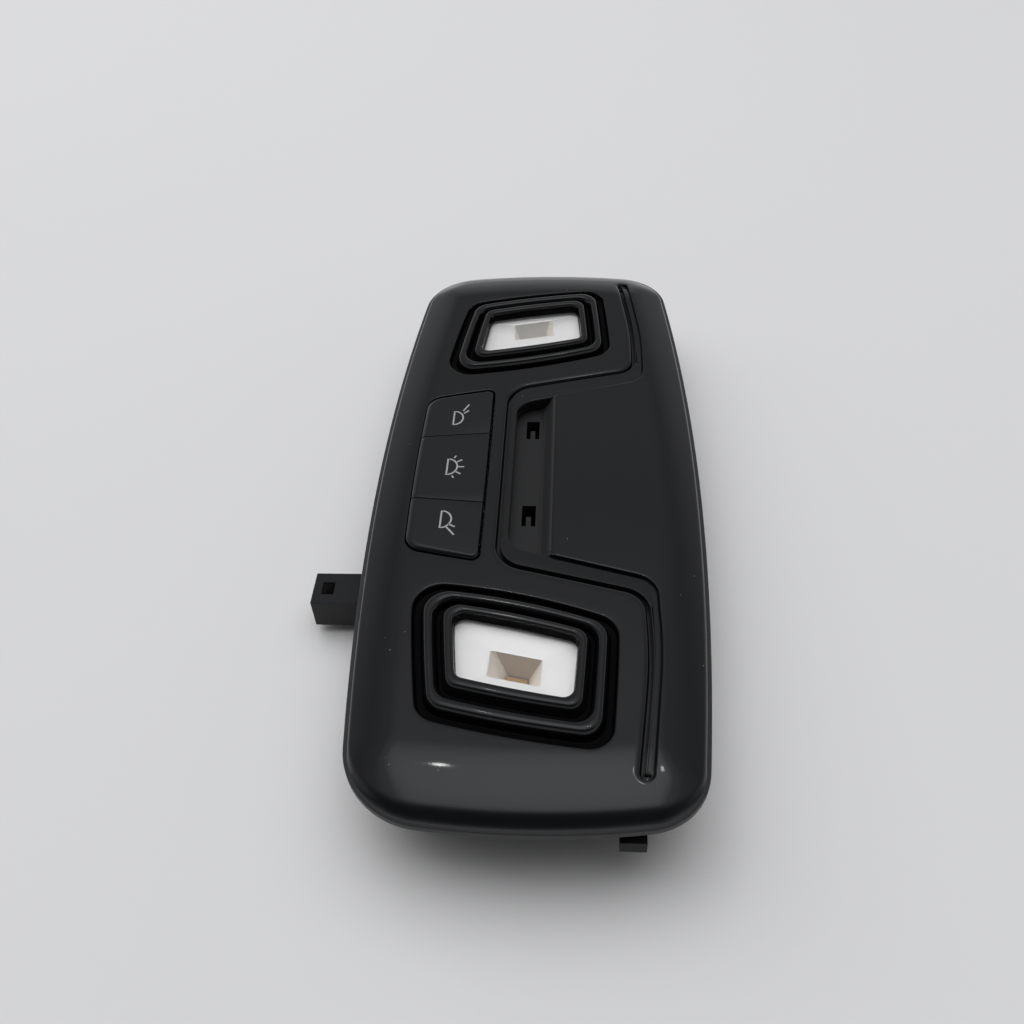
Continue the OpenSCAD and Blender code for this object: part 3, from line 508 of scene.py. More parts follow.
def make_handling_film():
    """Thin film of handling and fine dust: roughness that drifts over the surface."""
    group, start, end, coords = node_group(
        "Handling film",
        [("Roughness", "NodeSocketFloat", 0.1), ("Amount", "NodeSocketFloat", 0.05)],
        [("Roughness", "NodeSocketFloat"), ("Dust", "NodeSocketFloat")])
    cloud = noise_node(group, coords, 38.0, 5.0, 0.6)
    fine = noise_node(group, coords, 420.0, 2.0)
    drift = math_node(group, "MULTIPLY", math_node(group, "SUBTRACT", cloud, 0.42, True), 2.0)
    fleck = math_node(group, "MULTIPLY", math_node(group, "SUBTRACT", fine, 0.55, True), 2.0)
    film = math_node(group, "MULTIPLY", math_node(group, "ADD", drift, fleck), start.outputs["Amount"])
    group.links.new(math_node(group, "ADD", film, start.outputs["Roughness"]), end.inputs["Roughness"])
    spots = group.nodes.new("ShaderNodeTexVoronoi")
    spots.inputs["Scale"].default_value = 260.0
    group.links.new(coords.outputs["Object"], spots.inputs["Vector"])
    dot = math_node(group, "LESS_THAN", spots.outputs["Distance"], 0.035)
    rare = math_node(group, "GREATER_THAN", noise_node(group, coords, 90.0, 1.0), 0.6)
    group.links.new(math_node(group, "MULTIPLY", dot, rare), end.inputs["Dust"])


def new_material(name):
    """A material with its node tree and its shader."""
    mat = bpy.data.materials.new(name)
    mat.use_nodes = True
    return mat, mat.node_tree, mat.node_tree.nodes["Principled BSDF"]


def use_group(tree, name, **values):
    """A shared effect in a material, with its inputs set."""
    node = tree.nodes.new("ShaderNodeGroup")
    node.node_tree = bpy.data.node_groups[name]
    set_inputs(node, values)
    return node


DUST_COLOUR = (0.45, 0.44, 0.42, 1)


def plastic(name, shade, roughness, grain, bump, film, variation, dust=0.0, specular=0.5, metallic=0.0):
    """A moulded plastic with grain, a handling film and a few specks of dust."""
    _, tree, shader = new_material(name)
    set_inputs(shader, {"Specular IOR Level": specular, "Metallic": metallic})
    grain_node = use_group(tree, "Mould grain", Scale=grain, Colour=(*shade, 1), Variation=variation)
    film_node = use_group(tree, "Handling film", Roughness=roughness, Amount=film)
    dusty = math_node(tree, "MULTIPLY", film_node.outputs["Dust"], dust)
    coloured = mix_node(tree, "MIX", dusty, grain_node.outputs["Colour"], DUST_COLOUR)
    tree.links.new(coloured, shader.inputs["Base Color"])
    tree.links.new(film_node.outputs["Roughness"], shader.inputs["Roughness"])
    raised = tree.nodes.new("ShaderNodeBump")
    set_inputs(raised, {"Strength": bump, "Distance": 0.0002})
    tree.links.new(grain_node.outputs["Height"], raised.inputs["Height"])
    tree.links.new(raised.outputs["Normal"], shader.inputs["Normal"])


def metal(name, shade, roughness):
    """A metal with a drifting sheen."""
    plastic(name, shade, roughness, 900, 0.05, 0.12, 0.1, metallic=1.0)


def clear_plastic(name):
    """The clear lens: nearly unseen but for its gloss."""
    _, tree, shader = new_material(name)
    set_inputs(shader, {"Base Color": (0.93, 0.95, 0.97, 1), "Alpha": 0.06})
    film_node = use_group(tree, "Handling film", Roughness=0.04, Amount=0.05)
    tree.links.new(film_node.outputs["Roughness"], shader.inputs["Roughness"])


def paint_node(node, mat):
    """Gives a CAD node a material in place of its plain one."""
    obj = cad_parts[node]
    if not obj.material_slots:
        obj.data.materials.append(mat)
    for slot in obj.material_slots:
        slot.material = mat


# ---- Pieces ----


class ROOFLIGHT_OT_materials(bpy.types.Operator):
    """Makes the shared effects and the materials"""

    bl_idname = "rooflight.materials"
    bl_label = "Materials"

    def execute(self, context):
        looks = context.scene.rooflight_finishes
        make_mould_grain()
        make_handling_film()
        plastic("Piano black", looks.face, 0.05, 1800, 0.012, 0.03, 0.1, dust=0.5)
        plastic("Key black", looks.keys, 0.13, 2600, 0.05, 0.06, 0.12, dust=0.5)
        plastic("Recess black", (0.0085, 0.0087, 0.0095), 0.42, 2600, 0.1, 0.08, 0.12)
        # Painted sheen: a lighter copy of the recess black for the ramp, standing in for the reflection it lacks
        plastic("Ramp painted sheen", (0.025, 0.0252, 0.0262), 0.42, 2600, 0.1, 0.08, 0.12)
        # Painted shade: a near-black, dull copy of the face's plastic for the grooves and the windows' inner walls
        plastic("Painted shade black", (0.0016, 0.0016, 0.0019), 0.4, 1800, 0.02, 0.05, 0.1, specular=0.04)
        plastic("Lip grey", looks.lip, 0.42, 2200, 0.16, 0.08, 0.2, specular=0.3)
        plastic("Housing black", looks.housing, 0.5, 1500, 0.25, 0.1, 0.25, specular=0.2)
        plastic("Socket black", (0.0098, 0.0102, 0.0115), 0.5, 2400, 0.14, 0.1, 0.2, specular=0.3)
        plastic("Key symbol", looks.symbols, 0.45, 3000, 0.03, 0.05, 0.06)
        plastic("Dish silver", looks.dish, 0.3, 160, 0.006, 0.05, 0.03, metallic=0.3)
        plastic("Funnel beige", (0.95, 0.90, 0.81), 0.38, 900, 0.06, 0.08, 0.12)
        # Painted shade: darker copies of the funnel's beige for the far walls, brown in the near lamp and grey in
        # the far one
        plastic("Funnel shaded grey", (0.50, 0.485, 0.46), 0.38, 900, 0.06, 0.08, 0.1)
        plastic("Funnel shaded brown", (0.39, 0.30, 0.22), 0.42, 900, 0.06, 0.08, 0.16)
        # Painted shade: a darker copy of the beige along the folds between the funnel's walls
        plastic("Funnel fold shade", (0.78, 0.74, 0.66), 0.35, 900, 0.03, 0.05, 0.05)
        plastic("Diode amber", (0.50, 0.30, 0.085), 0.35, 1500, 0.05, 0.05, 0.3)
        plastic("Key diode", (0.72, 0.66, 0.45), 0.4, 1500, 0.05, 0.05, 0.2)
        plastic("Guide white", (0.62, 0.62, 0.60), 0.5, 1500, 0.1, 0.05, 0.06)
        plastic("Switch black", (0.02, 0.02, 0.022), 0.5, 1500, 0.1, 0.05, 0.2)
        plastic("Plunger grey", (0.42, 0.42, 0.40), 0.45, 1500, 0.1, 0.05, 0.1)
        plastic("Board green", (0.006, 0.03, 0.014), 0.3, 600, 0.04, 0.08, 0.35)
        metal("Spring steel", (0.55, 0.55, 0.57), 0.26)
        metal("Zinc steel", (0.62, 0.61, 0.58), 0.3)
        metal("Tinned pin", (0.72, 0.62, 0.38), 0.25)
        clear_plastic("Clear lens")
        return {"FINISHED"}


RING_SECTION = [
    (-0.75, 0.0), (-0.3, -0.03), (0.0, -0.15), (0.28, -0.7), (0.5, -1.95), (2.3, -2.15), (2.95, 0.1), (3.4, 0.95),
    (4.3, 1.3), (5.3, 1.05), (5.8, 0.3), (6.35, -1.6), (7.5, -1.7), (8.2, 1.1), (8.7, 1.85), (9.6, 2.08),
    (10.5, 1.82), (10.85, 1.35), (11.1, -1.5)]
# Ring faces lower than the last of these get a painted shade
RING_WIDTH, RING_FOOT, RING_ROUNDING, SHADE_PAINTED_BELOW = 11.1, 1.5, 0.42, -0.6
GROOVE_PROFILE = [
    (-1.3, 0.0), (-0.9, -0.03), (-0.5, -0.12), (-0.2, -0.25), (0.05, -0.45), (0.25, -0.75), (0.4, -1.15),
    (0.5, -1.8), (1.2, -1.9), (1.32, -1.5), (1.36, -0.52), (1.45, -0.34), (1.7, -0.3)]
LINE_PROFILE = [
    (-0.45, 0.0), (-0.2, -0.03), (-0.05, -0.14), (0.0, -0.3), (0.1, -1.35), (0.3, -1.45), (0.38, -1.02),
    (0.45, -0.93), (0.8, -0.88), (1.7, -0.82)]
LEDGE_PROFILE = [(0.0, -1.25), (0.1, -0.98), (0.2, -0.88), (0.38, -0.84), (1.7, -0.76)]
BAND_STEPS = (-1.3, -0.9, -0.5, -0.2, -0.05, 0.0, 0.1, 0.2, 0.3, 0.38, 0.45, 0.5, 0.8, 1.2, 1.32, 1.36, 1.45, 1.7)
RIM_STEPS = (0.0, 0.06, 0.16, 0.3, 0.5, 0.75, 1.05, 1.4, 1.8, 2.2, 2.6, 3.0, 3.5, 4.1, 4.8, 5.6, 6.5, 7.6)
KEY_EDGE_STEPS = ((0.5, 0.0), (0.34, 0.02), (0.2, 0.07), (0.1, 0.14), (0.03, 0.26), (0.0, 0.42))
# Corners after which the channel runs along the panel, and the share of the
# panel's line before and after the turn in each of its four end corners
PANEL_CORNERS = range(8, 15)
END_CORNERS = {0: (0.5, 0.0), 7: (0.0, 0.5), 8: (0.5, 1.0), 15: (1.0, 0.5)}
RECESS_LEFT, RECESS_HALF, RECESS_FLARE, RECESS_SPARE = -6.9, 30.15, (11.2, 39.2), 0.4
RAMP_LINE_STEPS = 60
GRID_STEP, GRID_COLUMNS, GRID_ROWS = 1.3, 36, 83
# How far the grid keeps away from each loop
BAND_CLEAR, KEY_CLEAR, RING_CLEAR, RIM_CLEAR = 0.6, 1.2, 0.07, 0.7
RECESS_ZONE = [(-8, -32), (RAMP_TOP + 1.6, -35), (RAMP_TOP + 1.6, 35), (-8, 32)]
SLOT_DEPTH = 1.8
# Material slots of the face: the recess floor, the ramp's painted sheen, and the painted shade of the grooves and
# window walls
FLOOR_LOOK, RAMP_SHEEN_LOOK, PAINTED_SHADE_LOOK = 1, 2, 3


class ROOFLIGHT_OT_face(bpy.types.Operator):
    """Builds the glossy face with its rings, channel, recess and key opening"""

    bl_idname = "rooflight.face"
    bl_label = "Glossy face"

    def recess_height(self, sizes, x, y):
        return sizes.floor + (face_height(sizes, x, y) - sizes.floor) * profile_at(RAMP_STEPS, x)

    def band_loop(self, sizes, inset):
        """One closed loop of the channel, with the height of each point."""
        loop = []
        for (x, y), corner, share in band_outline(inset):
            weight = 1.0 if corner in PANEL_CORNERS else 0.0
            if corner in END_CORNERS:
                before, after = END_CORNERS[corner]
                weight = before + (after - before) * min(share * 2, 1.0)
            z = face_height(sizes, x, y)
            if weight < 1.0 or x >= RAMP_TOP:
                z += (1 - weight) * profile_at(GROOVE_PROFILE, inset) + weight * profile_at(LINE_PROFILE, inset)
            elif inset < 0:
                z = self.recess_height(sizes, x, y)
            else:
                z += profile_at(LEDGE_PROFILE, inset)
            loop.append((x, y, z))
        return loop

    def execute(self, context):
        sizes = context.scene.rooflight_face
        points, heights, edges = [], [], []

        def add_loop(loop, closed=True):
            start = len(points)
            for x, y, z in loop:
                points.append(Vector((x, y)))
                heights.append(z)
            count = len(loop)
            edges.extend((start + i, start + (i + 1) % count) for i in range(count if closed else count - 1))

        def on_face(outline, lower=0.0):
            return [(x, y, face_height(sizes, x, y) - lower) for x, y in outline]

        rim_loops = [on_face(face_outline(sizes, inset)) for inset in RIM_STEPS]
        add_loop(rim_loops[-1])
        ring_share = RING_SECTION[0][0] / RING_WIDTH
        ring_holes = [ring_outline(side, ring_share) for side in (-1, 1)]
        for hole in ring_holes:
            add_loop(on_face(hole))
        key_loops = [on_face(key_outline(-grow + 0.15, -grow, -grow), lower) for grow, lower in KEY_EDGE_STEPS]
        add_loop(key_loops[0])
        band_loops = [self.band_loop(sizes, inset) for inset in BAND_STEPS]
        add_loop(band_loops[0])

        recess = [p for p, corner, _ in band_outline(-0.05) if corner in PANEL_CORNERS and p[0] < RAMP_TOP + 1.0]
        for x, _ in RAMP_STEPS:
            half = RECESS_HALF + (x - RECESS_LEFT) * RECESS_FLARE[0] / RECESS_FLARE[1] + RECESS_SPARE
            line = [(x, -half + 2 * half * i / RAMP_LINE_STEPS) for i in range(RAMP_LINE_STEPS + 1)]
            add_loop([(px, py, self.recess_height(sizes, px, py)) for px, py in line], closed=False)
        slots = []
        for y, length in SLOTS:
            x0, x1 = SLOT_X - SLOT_W / 2, SLOT_X + SLOT_W / 2
            t0, t1 = SLOT_X - TONGUE_W / 2, SLOT_X + TONGUE_W / 2
            y0, y1 = y - length / 2, y + length / 2
            y2 = y0 + TONGUE_L
            slot = [(x0, y0), (t0, y0), (t0, y2), (t1, y2), (t1, y0), (x1, y0), (x1, y1), (x0, y1)]
            slots.append(slot)
            add_loop(at_z(slot, sizes.floor))

        band_hole, band_zone = (
            [p for p, _, _ in band_outline(BAND_STEPS[0] - clear)] for clear in (0, BAND_CLEAR))
        zones = [band_zone, key_outline(-KEY_CLEAR, -KEY_CLEAR, -KEY_CLEAR), RECESS_ZONE]
        zones += [ring_outline(side, ring_share - RING_CLEAR) for side in (-1, 1)]
        rim, rim_zone = face_outline(sizes, RIM_STEPS[-1]), face_outline(sizes, RIM_STEPS[-1] + RIM_CLEAR)
        for i in range(-GRID_COLUMNS, GRID_COLUMNS + 1):
            for j in range(-GRID_ROWS, GRID_ROWS + 1):
                p = ((i + 0.5 * (j % 2)) * GRID_STEP, j * GRID_STEP)
                if inside(p, rim_zone) and not any(inside(p, zone) for zone in zones):
                    points.append(Vector(p))
                    heights.append(face_height(sizes, *p))

        verts, _, faces, origins, _, _ = delaunay_2d_cdt(points, edges, [], 0, 1e-4)
        bm = bmesh.new()
        key_hole = [p[:2] for p in key_loops[0]]
        holes = [key_hole, band_hole] + ring_holes + slots
        made = []
        for co, origin in zip(verts, origins):
            listed = [k for k in origin if k < len(points)]
            if listed:
                z = heights[listed[0]]
            elif inside(co, recess):
                z = self.recess_height(sizes, co.x, co.y)
            else:
                z = face_height(sizes, co.x, co.y)
            made.append(bm.verts.new((co.x, co.y, z)))
        for tri in faces:
            mid = (sum(verts[k].x for k in tri) / len(tri), sum(verts[k].y for k in tri) / len(tri))
            if not inside(mid, rim) or any(inside(mid, hole) for hole in holes):
                continue
            face = bm.faces.new([made[k] for k in tri])
            if face.normal.z < 0:
                face.normal_flip()
        bmesh.ops.delete(bm, geom=[v for v in bm.verts if not v.link_faces], context="VERTS")
        bm.normal_update()

        rims = [e for e in bm.edges if e.is_boundary and all(
            -4.2 < v.co.x < 0.2 and abs(v.co.y) < 27 for v in e.verts)]
        result = bmesh.ops.extrude_edge_only(bm, edges=rims)
        for v in result["geom"]:
            if isinstance(v, bmesh.types.BMVert):
                v.co.z = sizes.floor - SLOT_DEPTH
        loft(bm, rim_loops)
        loft(bm, key_loops + [at_z(key_loops[-1], sizes.edge)])
        strip, _ = loft(bm, band_loops)
        bmesh.ops.triangle_fill(bm, edges=strip, use_beauty=True)

        section = rounded_profile(RING_SECTION, RING_ROUNDING)
        for side in (-1, 1):
            loops = [on_face(ring_outline(side, d / RING_WIDTH), -dz) for d, dz in section]
            loops[-1] = at_z(loops[-1], sizes.top - RING_FOOT)
            _, walls = loft(bm, loops)
            count = len(loops[-1])
            for k, (a, b) in enumerate(zip(section, section[1:])):
                # Painted shade: faces deep in the grooves and the window's inner wall get a near-black material
                if min(a[1], b[1]) < SHADE_PAINTED_BELOW and max(a[1], b[1]) < 0 or b is section[-1]:
                    for face in walls[k * count:(k + 1) * count]:
                        face.material_index = PAINTED_SHADE_LOOK
        weld(bm)
        for face in bm.faces:
            mid = face.calc_center_median()
            nearby = -7.2 < mid.x < RAMP_TOP + 0.4 and abs(mid.y) < 34 and mid.z < sizes.top - 0.3
            if nearby and inside((mid.x, mid.y), recess):
                # Painted sheen: the ramp's faces get the lighter copy of the recess black
                on_ramp = mid.x > RAMP_STEPS[1][0] and mid.z > sizes.floor
                face.material_index = RAMP_SHEEN_LOOK if on_ramp else FLOOR_LOOK
        finish_mesh("glossy_face", bm, ("Piano black", "Recess black", "Ramp painted sheen", "Painted shade black"), "console",
                    ("bezel",), 34)
        return {"FINISHED"}


LIP_FOOT, LIP_INSET, LIP_SINK, LIP_ROUNDING = 22.0, 6.0, 0.05, 0.3


class ROOFLIGHT_OT_carrier(bpy.types.Operator):
    """Builds the matt carrier frame with its rounded lip"""

    bl_idname = "rooflight.carrier"
    bl_label = "Carrier frame"

    def execute(self, context):
        sizes = context.scene.rooflight_face
        lip, top = sizes.lip, sizes.edge
        bm = bmesh.new()
        section = rounded_profile([(LIP_INSET, top - LIP_SINK), (0.05, top - LIP_SINK), (-lip, top - 0.5),
                                   (-lip, LIP_FOOT + 0.1), (0.4, LIP_FOOT), (LIP_INSET, LIP_FOOT)], LIP_ROUNDING)
        loops = [at_z(face_outline(sizes, inset), z) for inset, z in section]
        loft(bm, loops)
        loft(bm, [loops[-1], loops[0]])
        weld(bm)
        finish_mesh("carrier_lip", bm, ("Lip grey",), "console", ("carrier_frame",), 40)
        return {"FINISHED"}


KEY_TOP, KEY_FOOT, KEY_GAP, KEY_SPLIT_GAP = 30.4, 24.0, 0.4, 0.17
KEY_DROP = 0.9
KEY_BORDER, KEY_CROWN = (KEY_GAP - 0.1, KEY_GAP + 0.35, KEY_GAP), (2.2, 1.9, 0.8)
KEY_ROUNDING = [(0.0, 1.0 + 0.25 / KEY_DROP), (0.012, 1.05), (0.03, 0.965), (0.06, 0.88)]
KEY_ROUNDING += [(t, (1 - t) ** 2) for t in (0.1, 0.18, 0.27, 0.37, 0.48, 0.6, 0.72, 0.84, 0.93, 1.0)]
KEY_NAMES = ("near", "middle", "far")
SPLIT_RIGHT, SPLIT_LEFT, CUT_ROUNDING = 14.7, 12.9, 0.22
STROKE_HALF, STROKE_RISE, STROKE_DEPTH, SYMBOL_SHIFT, DOME_STEPS = 0.24, 0.012, 0.03, 0.5, 16
# Each symbol: its dome, by its flat side, its ends and its reach, and its rays
SYMBOLS = {
    "far": ((-25.9, 18.9, 25.1, 2.8), [[(-23.3, 25.4), (-21.7, 28.5)], [(-23.0, 24.2), (-21.6, 25.6)]]),
    "middle": ((-25.9, -3.1, 3.5, 2.9), [
        [(-24.2, 3.9), (-23.7, 4.9)], [(-23.2, 2.3), (-21.8, 3.2)], [(-22.8, 0.2), (-21.0, 0.2)],
        [(-23.2, -1.9), (-21.8, -2.8)], [(-24.2, -3.5), (-23.7, -4.5)]]),
    "near": ((-25.7, -24.2, -17.8, 2.9), [[(-23.4, -22.8), (-21.6, -23.8)], [(-24.0, -23.8), (-21.6, -26.8)]]),
}


class ROOFLIGHT_OT_keys(bpy.types.Operator):
    """Builds the three push keys and their symbols"""

    bl_idname = "rooflight.keys"
    bl_label = "Push keys"

    def block(self):
        """The three keys as one block with a crowned top."""
        border, crown = key_outline(*KEY_BORDER), key_outline(*KEY_CROWN)
        loops = [at_z(border, KEY_FOOT)]
        loops += [at_z(blend_outlines(border, crown, t), KEY_TOP - drop * KEY_DROP) for t, drop in KEY_ROUNDING]
        return capped_loft(loops)

    def cut(self, bm, near, keep_far):
        """Cuts the block at the divider between two keys and rounds the cut's edge."""
        end = -1 if near else 1
        point = Vector((KEY_RIGHT, SPLIT_RIGHT * end, 0))
        along = Vector((KEY_RIGHT - KEY_LEFT, (SPLIT_RIGHT - SPLIT_LEFT) * end, 0)).normalized()
        normal = Vector((-along.y, along.x, 0))
        side = 1 if keep_far else -1
        point = point + normal * side * KEY_SPLIT_GAP
        result = bmesh.ops.bisect_plane(
            bm, geom=bm.verts[:] + bm.edges[:] + bm.faces[:], dist=1e-5, plane_co=point, plane_no=normal,
            clear_inner=keep_far, clear_outer=not keep_far)
        cut_edges = [g for g in result["geom_cut"] if isinstance(g, bmesh.types.BMEdge)]
        ends = [v for v in bm.verts if v.is_boundary and abs(v.co.z - KEY_FOOT) < 1e-4
                and abs((v.co - point).dot(normal)) < 1e-3]
        if len(ends) == 2:
            closing = bm.edges.get(ends) or bm.edges.new(ends)
            bmesh.ops.contextual_create(bm, geom=cut_edges + [closing])
        top = [e for e in cut_edges if e.is_valid and max(v.co.z for v in e.verts) > KEY_FOOT + 1
               and len(e.link_faces) == 2]
        bevel(bm, top, CUT_ROUNDING, 3)

    def symbol(self, name, strokes):
        """A key's symbol of thin raised strokes."""
        bm = bmesh.new()
        z = KEY_TOP + STROKE_RISE
        for stroke in strokes:
            pts = [Vector(p) for p in stroke]
            dirs = [(b - a).normalized() for a, b in zip(pts[:1] + pts[:-1], pts[1:] + pts[-1:])]
            steps = [Vector((-d.y, d.x)) * STROKE_HALF for d in dirs]
            left, right = ([bm.verts.new((p.x + side * n.x, p.y + side * n.y - SYMBOL_SHIFT, z))
                            for p, n in zip(pts, steps)] for side in (1, -1))
            for quad in zip(right, right[1:], left[1:], left):
                bm.faces.new(quad)
        result = bmesh.ops.extrude_face_region(bm, geom=bm.faces[:])
        bmesh.ops.translate(bm, vec=(0, 0, -STROKE_DEPTH),
                            verts=[g for g in result["geom"] if isinstance(g, bmesh.types.BMVert)])
        bmesh.ops.recalc_face_normals(bm, faces=bm.faces)
        finish_mesh(f"{name}_key_symbol", bm, ("Key symbol",), f"{name}_button", (), 40)

    def dome(self, x, y0, y1, reach):
        """Outline of a lamp dome: flat side at x, round side towards the right."""
        mid, half = (y0 + y1) / 2, (y1 - y0) / 2
        bulge = [(x + reach * math.cos(a), mid + half * math.sin(a))
                 for a in (math.radians(-90 + 180 * i / DOME_STEPS) for i in range(DOME_STEPS + 1))]
        return [(x, mid)] + bulge + [(x, mid)]

    def execute(self, context):
        for index, name in enumerate(KEY_NAMES):
            bm = self.block()
            if index > 0:
                self.cut(bm, near=index == 1, keep_far=True)
            if index < 2:
                self.cut(bm, near=index == 0, keep_far=False)
            finish_mesh(f"{name}_key_cap", bm, ("Key black",), f"{name}_button", (f"{name}_key",), 34)
        for name, (dome, rays) in SYMBOLS.items():
            self.symbol(name, [self.dome(*dome)] + rays)
        return {"FINISHED"}


FUNNEL_TURN, FUNNEL_SHEAR = math.radians(12), 0.25
DISH_TOP, DISH_LOW, FUNNEL_FOOT_Z, FUNNEL_STEP = 27.28, 26.45, 16.15, 0.12
FUNNEL_ARC, FUNNEL_ROUNDING, DISH_CURVE = 900, 0.4, 1.6
FUNNEL_SHADED_WALL, FUNNEL_FOLD_SHADE, FUNNEL_EDGE_WIDTH = 2, 3, 0.06
FOOT_SIZE, BOARD_TOP = (6.0, 3.4), 14.6
# Each lamp's side, the darker colour of its far wall's painted shade, funnel size, and the shifts of the funnel's
# mouth and foot
LAMPS = {"near": (-1, "Funnel shaded brown", (13.2, 7.9), 1.4, -1.0), "far": (1, "Funnel shaded grey", (13.2, 8.6), 6.3, 1.0)}
CHIP = ((5.6, 3.0, BOARD_TOP), (5.6, 3.0, 16.7), (5.5, 2.9, 16.9), (5.25, 2.65, 17.0))


class ROOFLIGHT_OT_reflectors(bpy.types.Operator):
    """Builds both reflectors: a silver dish that falls to a funnel"""

    bl_idname = "rooflight.reflectors"
    bl_label = "Reflectors"

    def funnel(self, side, length, width, radius, shift):
        """Outline of a lamp's funnel, turned and sheared in plan."""
        a, b = length / 2, width / 2
        flat = bulged_outline([(-a, -b), (a, -b), (a, b), (-a, b)], [FUNNEL_ARC] * 4, [radius] * 4, RING_STEPS)
        c, s = math.cos(FUNNEL_TURN), math.sin(FUNNEL_TURN)
        out = [(LAMP_X + x * c - y * s * FUNNEL_SHEAR, LAMP_Y + shift + x * s + y * c) for x, y in flat]
        return out if side > 0 else mirrored(out)

    def execute(self, context):
        for name, (side, wall, size, shift, foot_shift) in LAMPS.items():
            bm = bmesh.new()
            border = ring_outline(side, 0.9)
            window = ring_outline(side, 1.0)
            mouth = self.funnel(side, *size, FUNNEL_ROUNDING, shift)
            foot = self.funnel(side, *FOOT_SIZE, FUNNEL_ROUNDING, foot_shift)
            top, low, deep = DISH_TOP, DISH_LOW, FUNNEL_FOOT_Z
            step = low - FUNNEL_STEP
            loops = [at_z(border, top), at_z(window, top)]
            for t in (0.06, 0.14, 0.24, 0.36, 0.5, 0.64, 0.78, 0.9, 0.97):
                z = top + (low - top) * (1 - (1 - t) ** DISH_CURVE)
                loops.append(at_z(blend_outlines(window, mouth, t), z))
            loft(bm, loops + [at_z(mouth, step)])
            walls = [at_z(blend_outlines(mouth, foot, t), step + (deep - step) * t)
                     for t in (0.0, 0.05, 0.3, 0.6, 0.85, 1.0)]
            _, funnel_faces = loft(bm, walls, 1)
            c, s = math.cos(FUNNEL_TURN), math.sin(FUNNEL_TURN) * side
            for face in funnel_faces:
                mid = face.calc_center_median()
                t = (low - mid.z) / (low - deep)
                off = mid.xy - Vector((LAMP_X, side * (LAMP_Y + shift + (foot_shift - shift) * t)))
                u = (off.x * c + off.y * s) / (size[0] + (FOOT_SIZE[0] - size[0]) * t) * 2
                v = (off.y * c - off.x * s) / (size[1] + (FOOT_SIZE[1] - size[1]) * t) * 2
                # Painted shade: the far wall gets its darker copy of the beige
                if v > abs(u):
                    face.material_index = FUNNEL_SHADED_WALL
                # Painted shade: the folds between the walls get a darker copy of the beige
                if abs(abs(v) - abs(u)) < FUNNEL_EDGE_WIDTH:
                    face.material_index = FUNNEL_FOLD_SHADE
            loft(bm, [at_z(foot, deep), at_z(self.funnel(side, 7.6, 5.0, 1.0, foot_shift), deep),
                      at_z(self.funnel(side, 15.2, 10.0, 1.4, shift), low - 1.4),
                      at_z(blend_outlines(window, mouth, 0.1), top - 1.9),
                      at_z(border, top - 0.9), at_z(border, top)])
            weld(bm)
            finish_mesh(f"{name}_dish", bm, ("Dish silver", "Funnel beige", wall, "Funnel fold shade"), "console",
                        (f"{name}_reflector",), 38)

            chip = capped_loft([at_z(self.funnel(side, a, b, FUNNEL_ROUNDING, foot_shift), z) for a, b, z in CHIP])
            finish_mesh(f"{name}_light_chip", chip, ("Diode amber",), "console", (f"{name}_lamp_diode",),
                        34)
        return {"FINISHED"}


# Steps by which the latch window's far and near edges in the socket are moved
LATCH_MOVES = (((-61.5, -34.4, 11.4), (-61.1, -29.4, 14.0), (1.7, 0, 0)),
               ((-57.5, -34.4, 11.4), (-57.1, -29.4, 14.0), (1.0, 0, 0)))


class ROOFLIGHT_OT_back(bpy.types.Operator):
    """Builds the rear housing and the plug socket with rounded edges"""

    bl_idname = "rooflight.back"
    bl_label = "Housing and socket"

    def execute(self, context):
        for node, name, width, look, slot in (
                ("rear_housing", "housing_shell", 0.3, "Housing black", "housing_black"),
                ("plug_socket", "socket_shell", 0.22, "Socket black", "socket_black")):
            bm = softened(node, width, moved=LATCH_MOVES if node == "plug_socket" else ())
            finish_mesh(name, bm, (look,), "console", (node,))
        return {"FINISHED"}


class ROOFLIGHT_OT_nodes(bpy.types.Operator):
    """Gives the nodes that keep their CAD shape their materials"""

    bl_idname = "rooflight.nodes"
    bl_label = "Other pieces"

    def execute(self, context):
        looks = {"near_lens": "Clear lens", "far_lens": "Clear lens", "key_guide": "Guide white",
                 "circuit_board": "Board green", "contact_pins": "Tinned pin",
                 "housing_screws": "Zinc steel", "retaining_clips": "Spring steel"}
        for key in KEY_NAMES:
            looks |= {f"{key}_key_diode": "Key diode", f"{key}_switch": "Switch black",
                      f"{key}_plunger": "Plunger grey"}
        for node, look in looks.items():
            paint_node(node, bpy.data.materials[look])
        return {"FINISHED"}


FLOOR_SIZE = 12.0
# The studio's strength by the height of the direction, and the shade on the
# near side above the horizon that keeps the glossy face's near slopes dark
STUDIO_LEVELS = ((0.0, 0.5), (0.28, 0.37), (0.5, 0.25), (0.68, 0.34), (0.88, 0.58), (1.0, 1.4))
SHADE_RANGE, SHADE_DEPTH, RAISED_RANGE = (-0.08, -0.62), 0.88, (0.24, 0.5)
# Each lamp: its place, its size, its share of the lamp power and whether the gloss shows it
STAGE_LAMPS = {
    "key_lamp": ((-1.1, 0.7, 1.4), 1.8, 1.35, False),
    "top_lamp": ((0.15, 0.35, 1.9), 2.2, 2.3, False),
    "small_lamp": ((-0.25, 0.08, 1.3), 0.03, 0.008, True),
    "side_lamp": ((0.3, 0.05, 1.3), 0.06, 0.0113, True),
}
CAMERA_PLACE, CAMERA_TURN = (0.01072873, -0.21145968, 0.2254825), (44.7522, 2.2016, 2.8113)


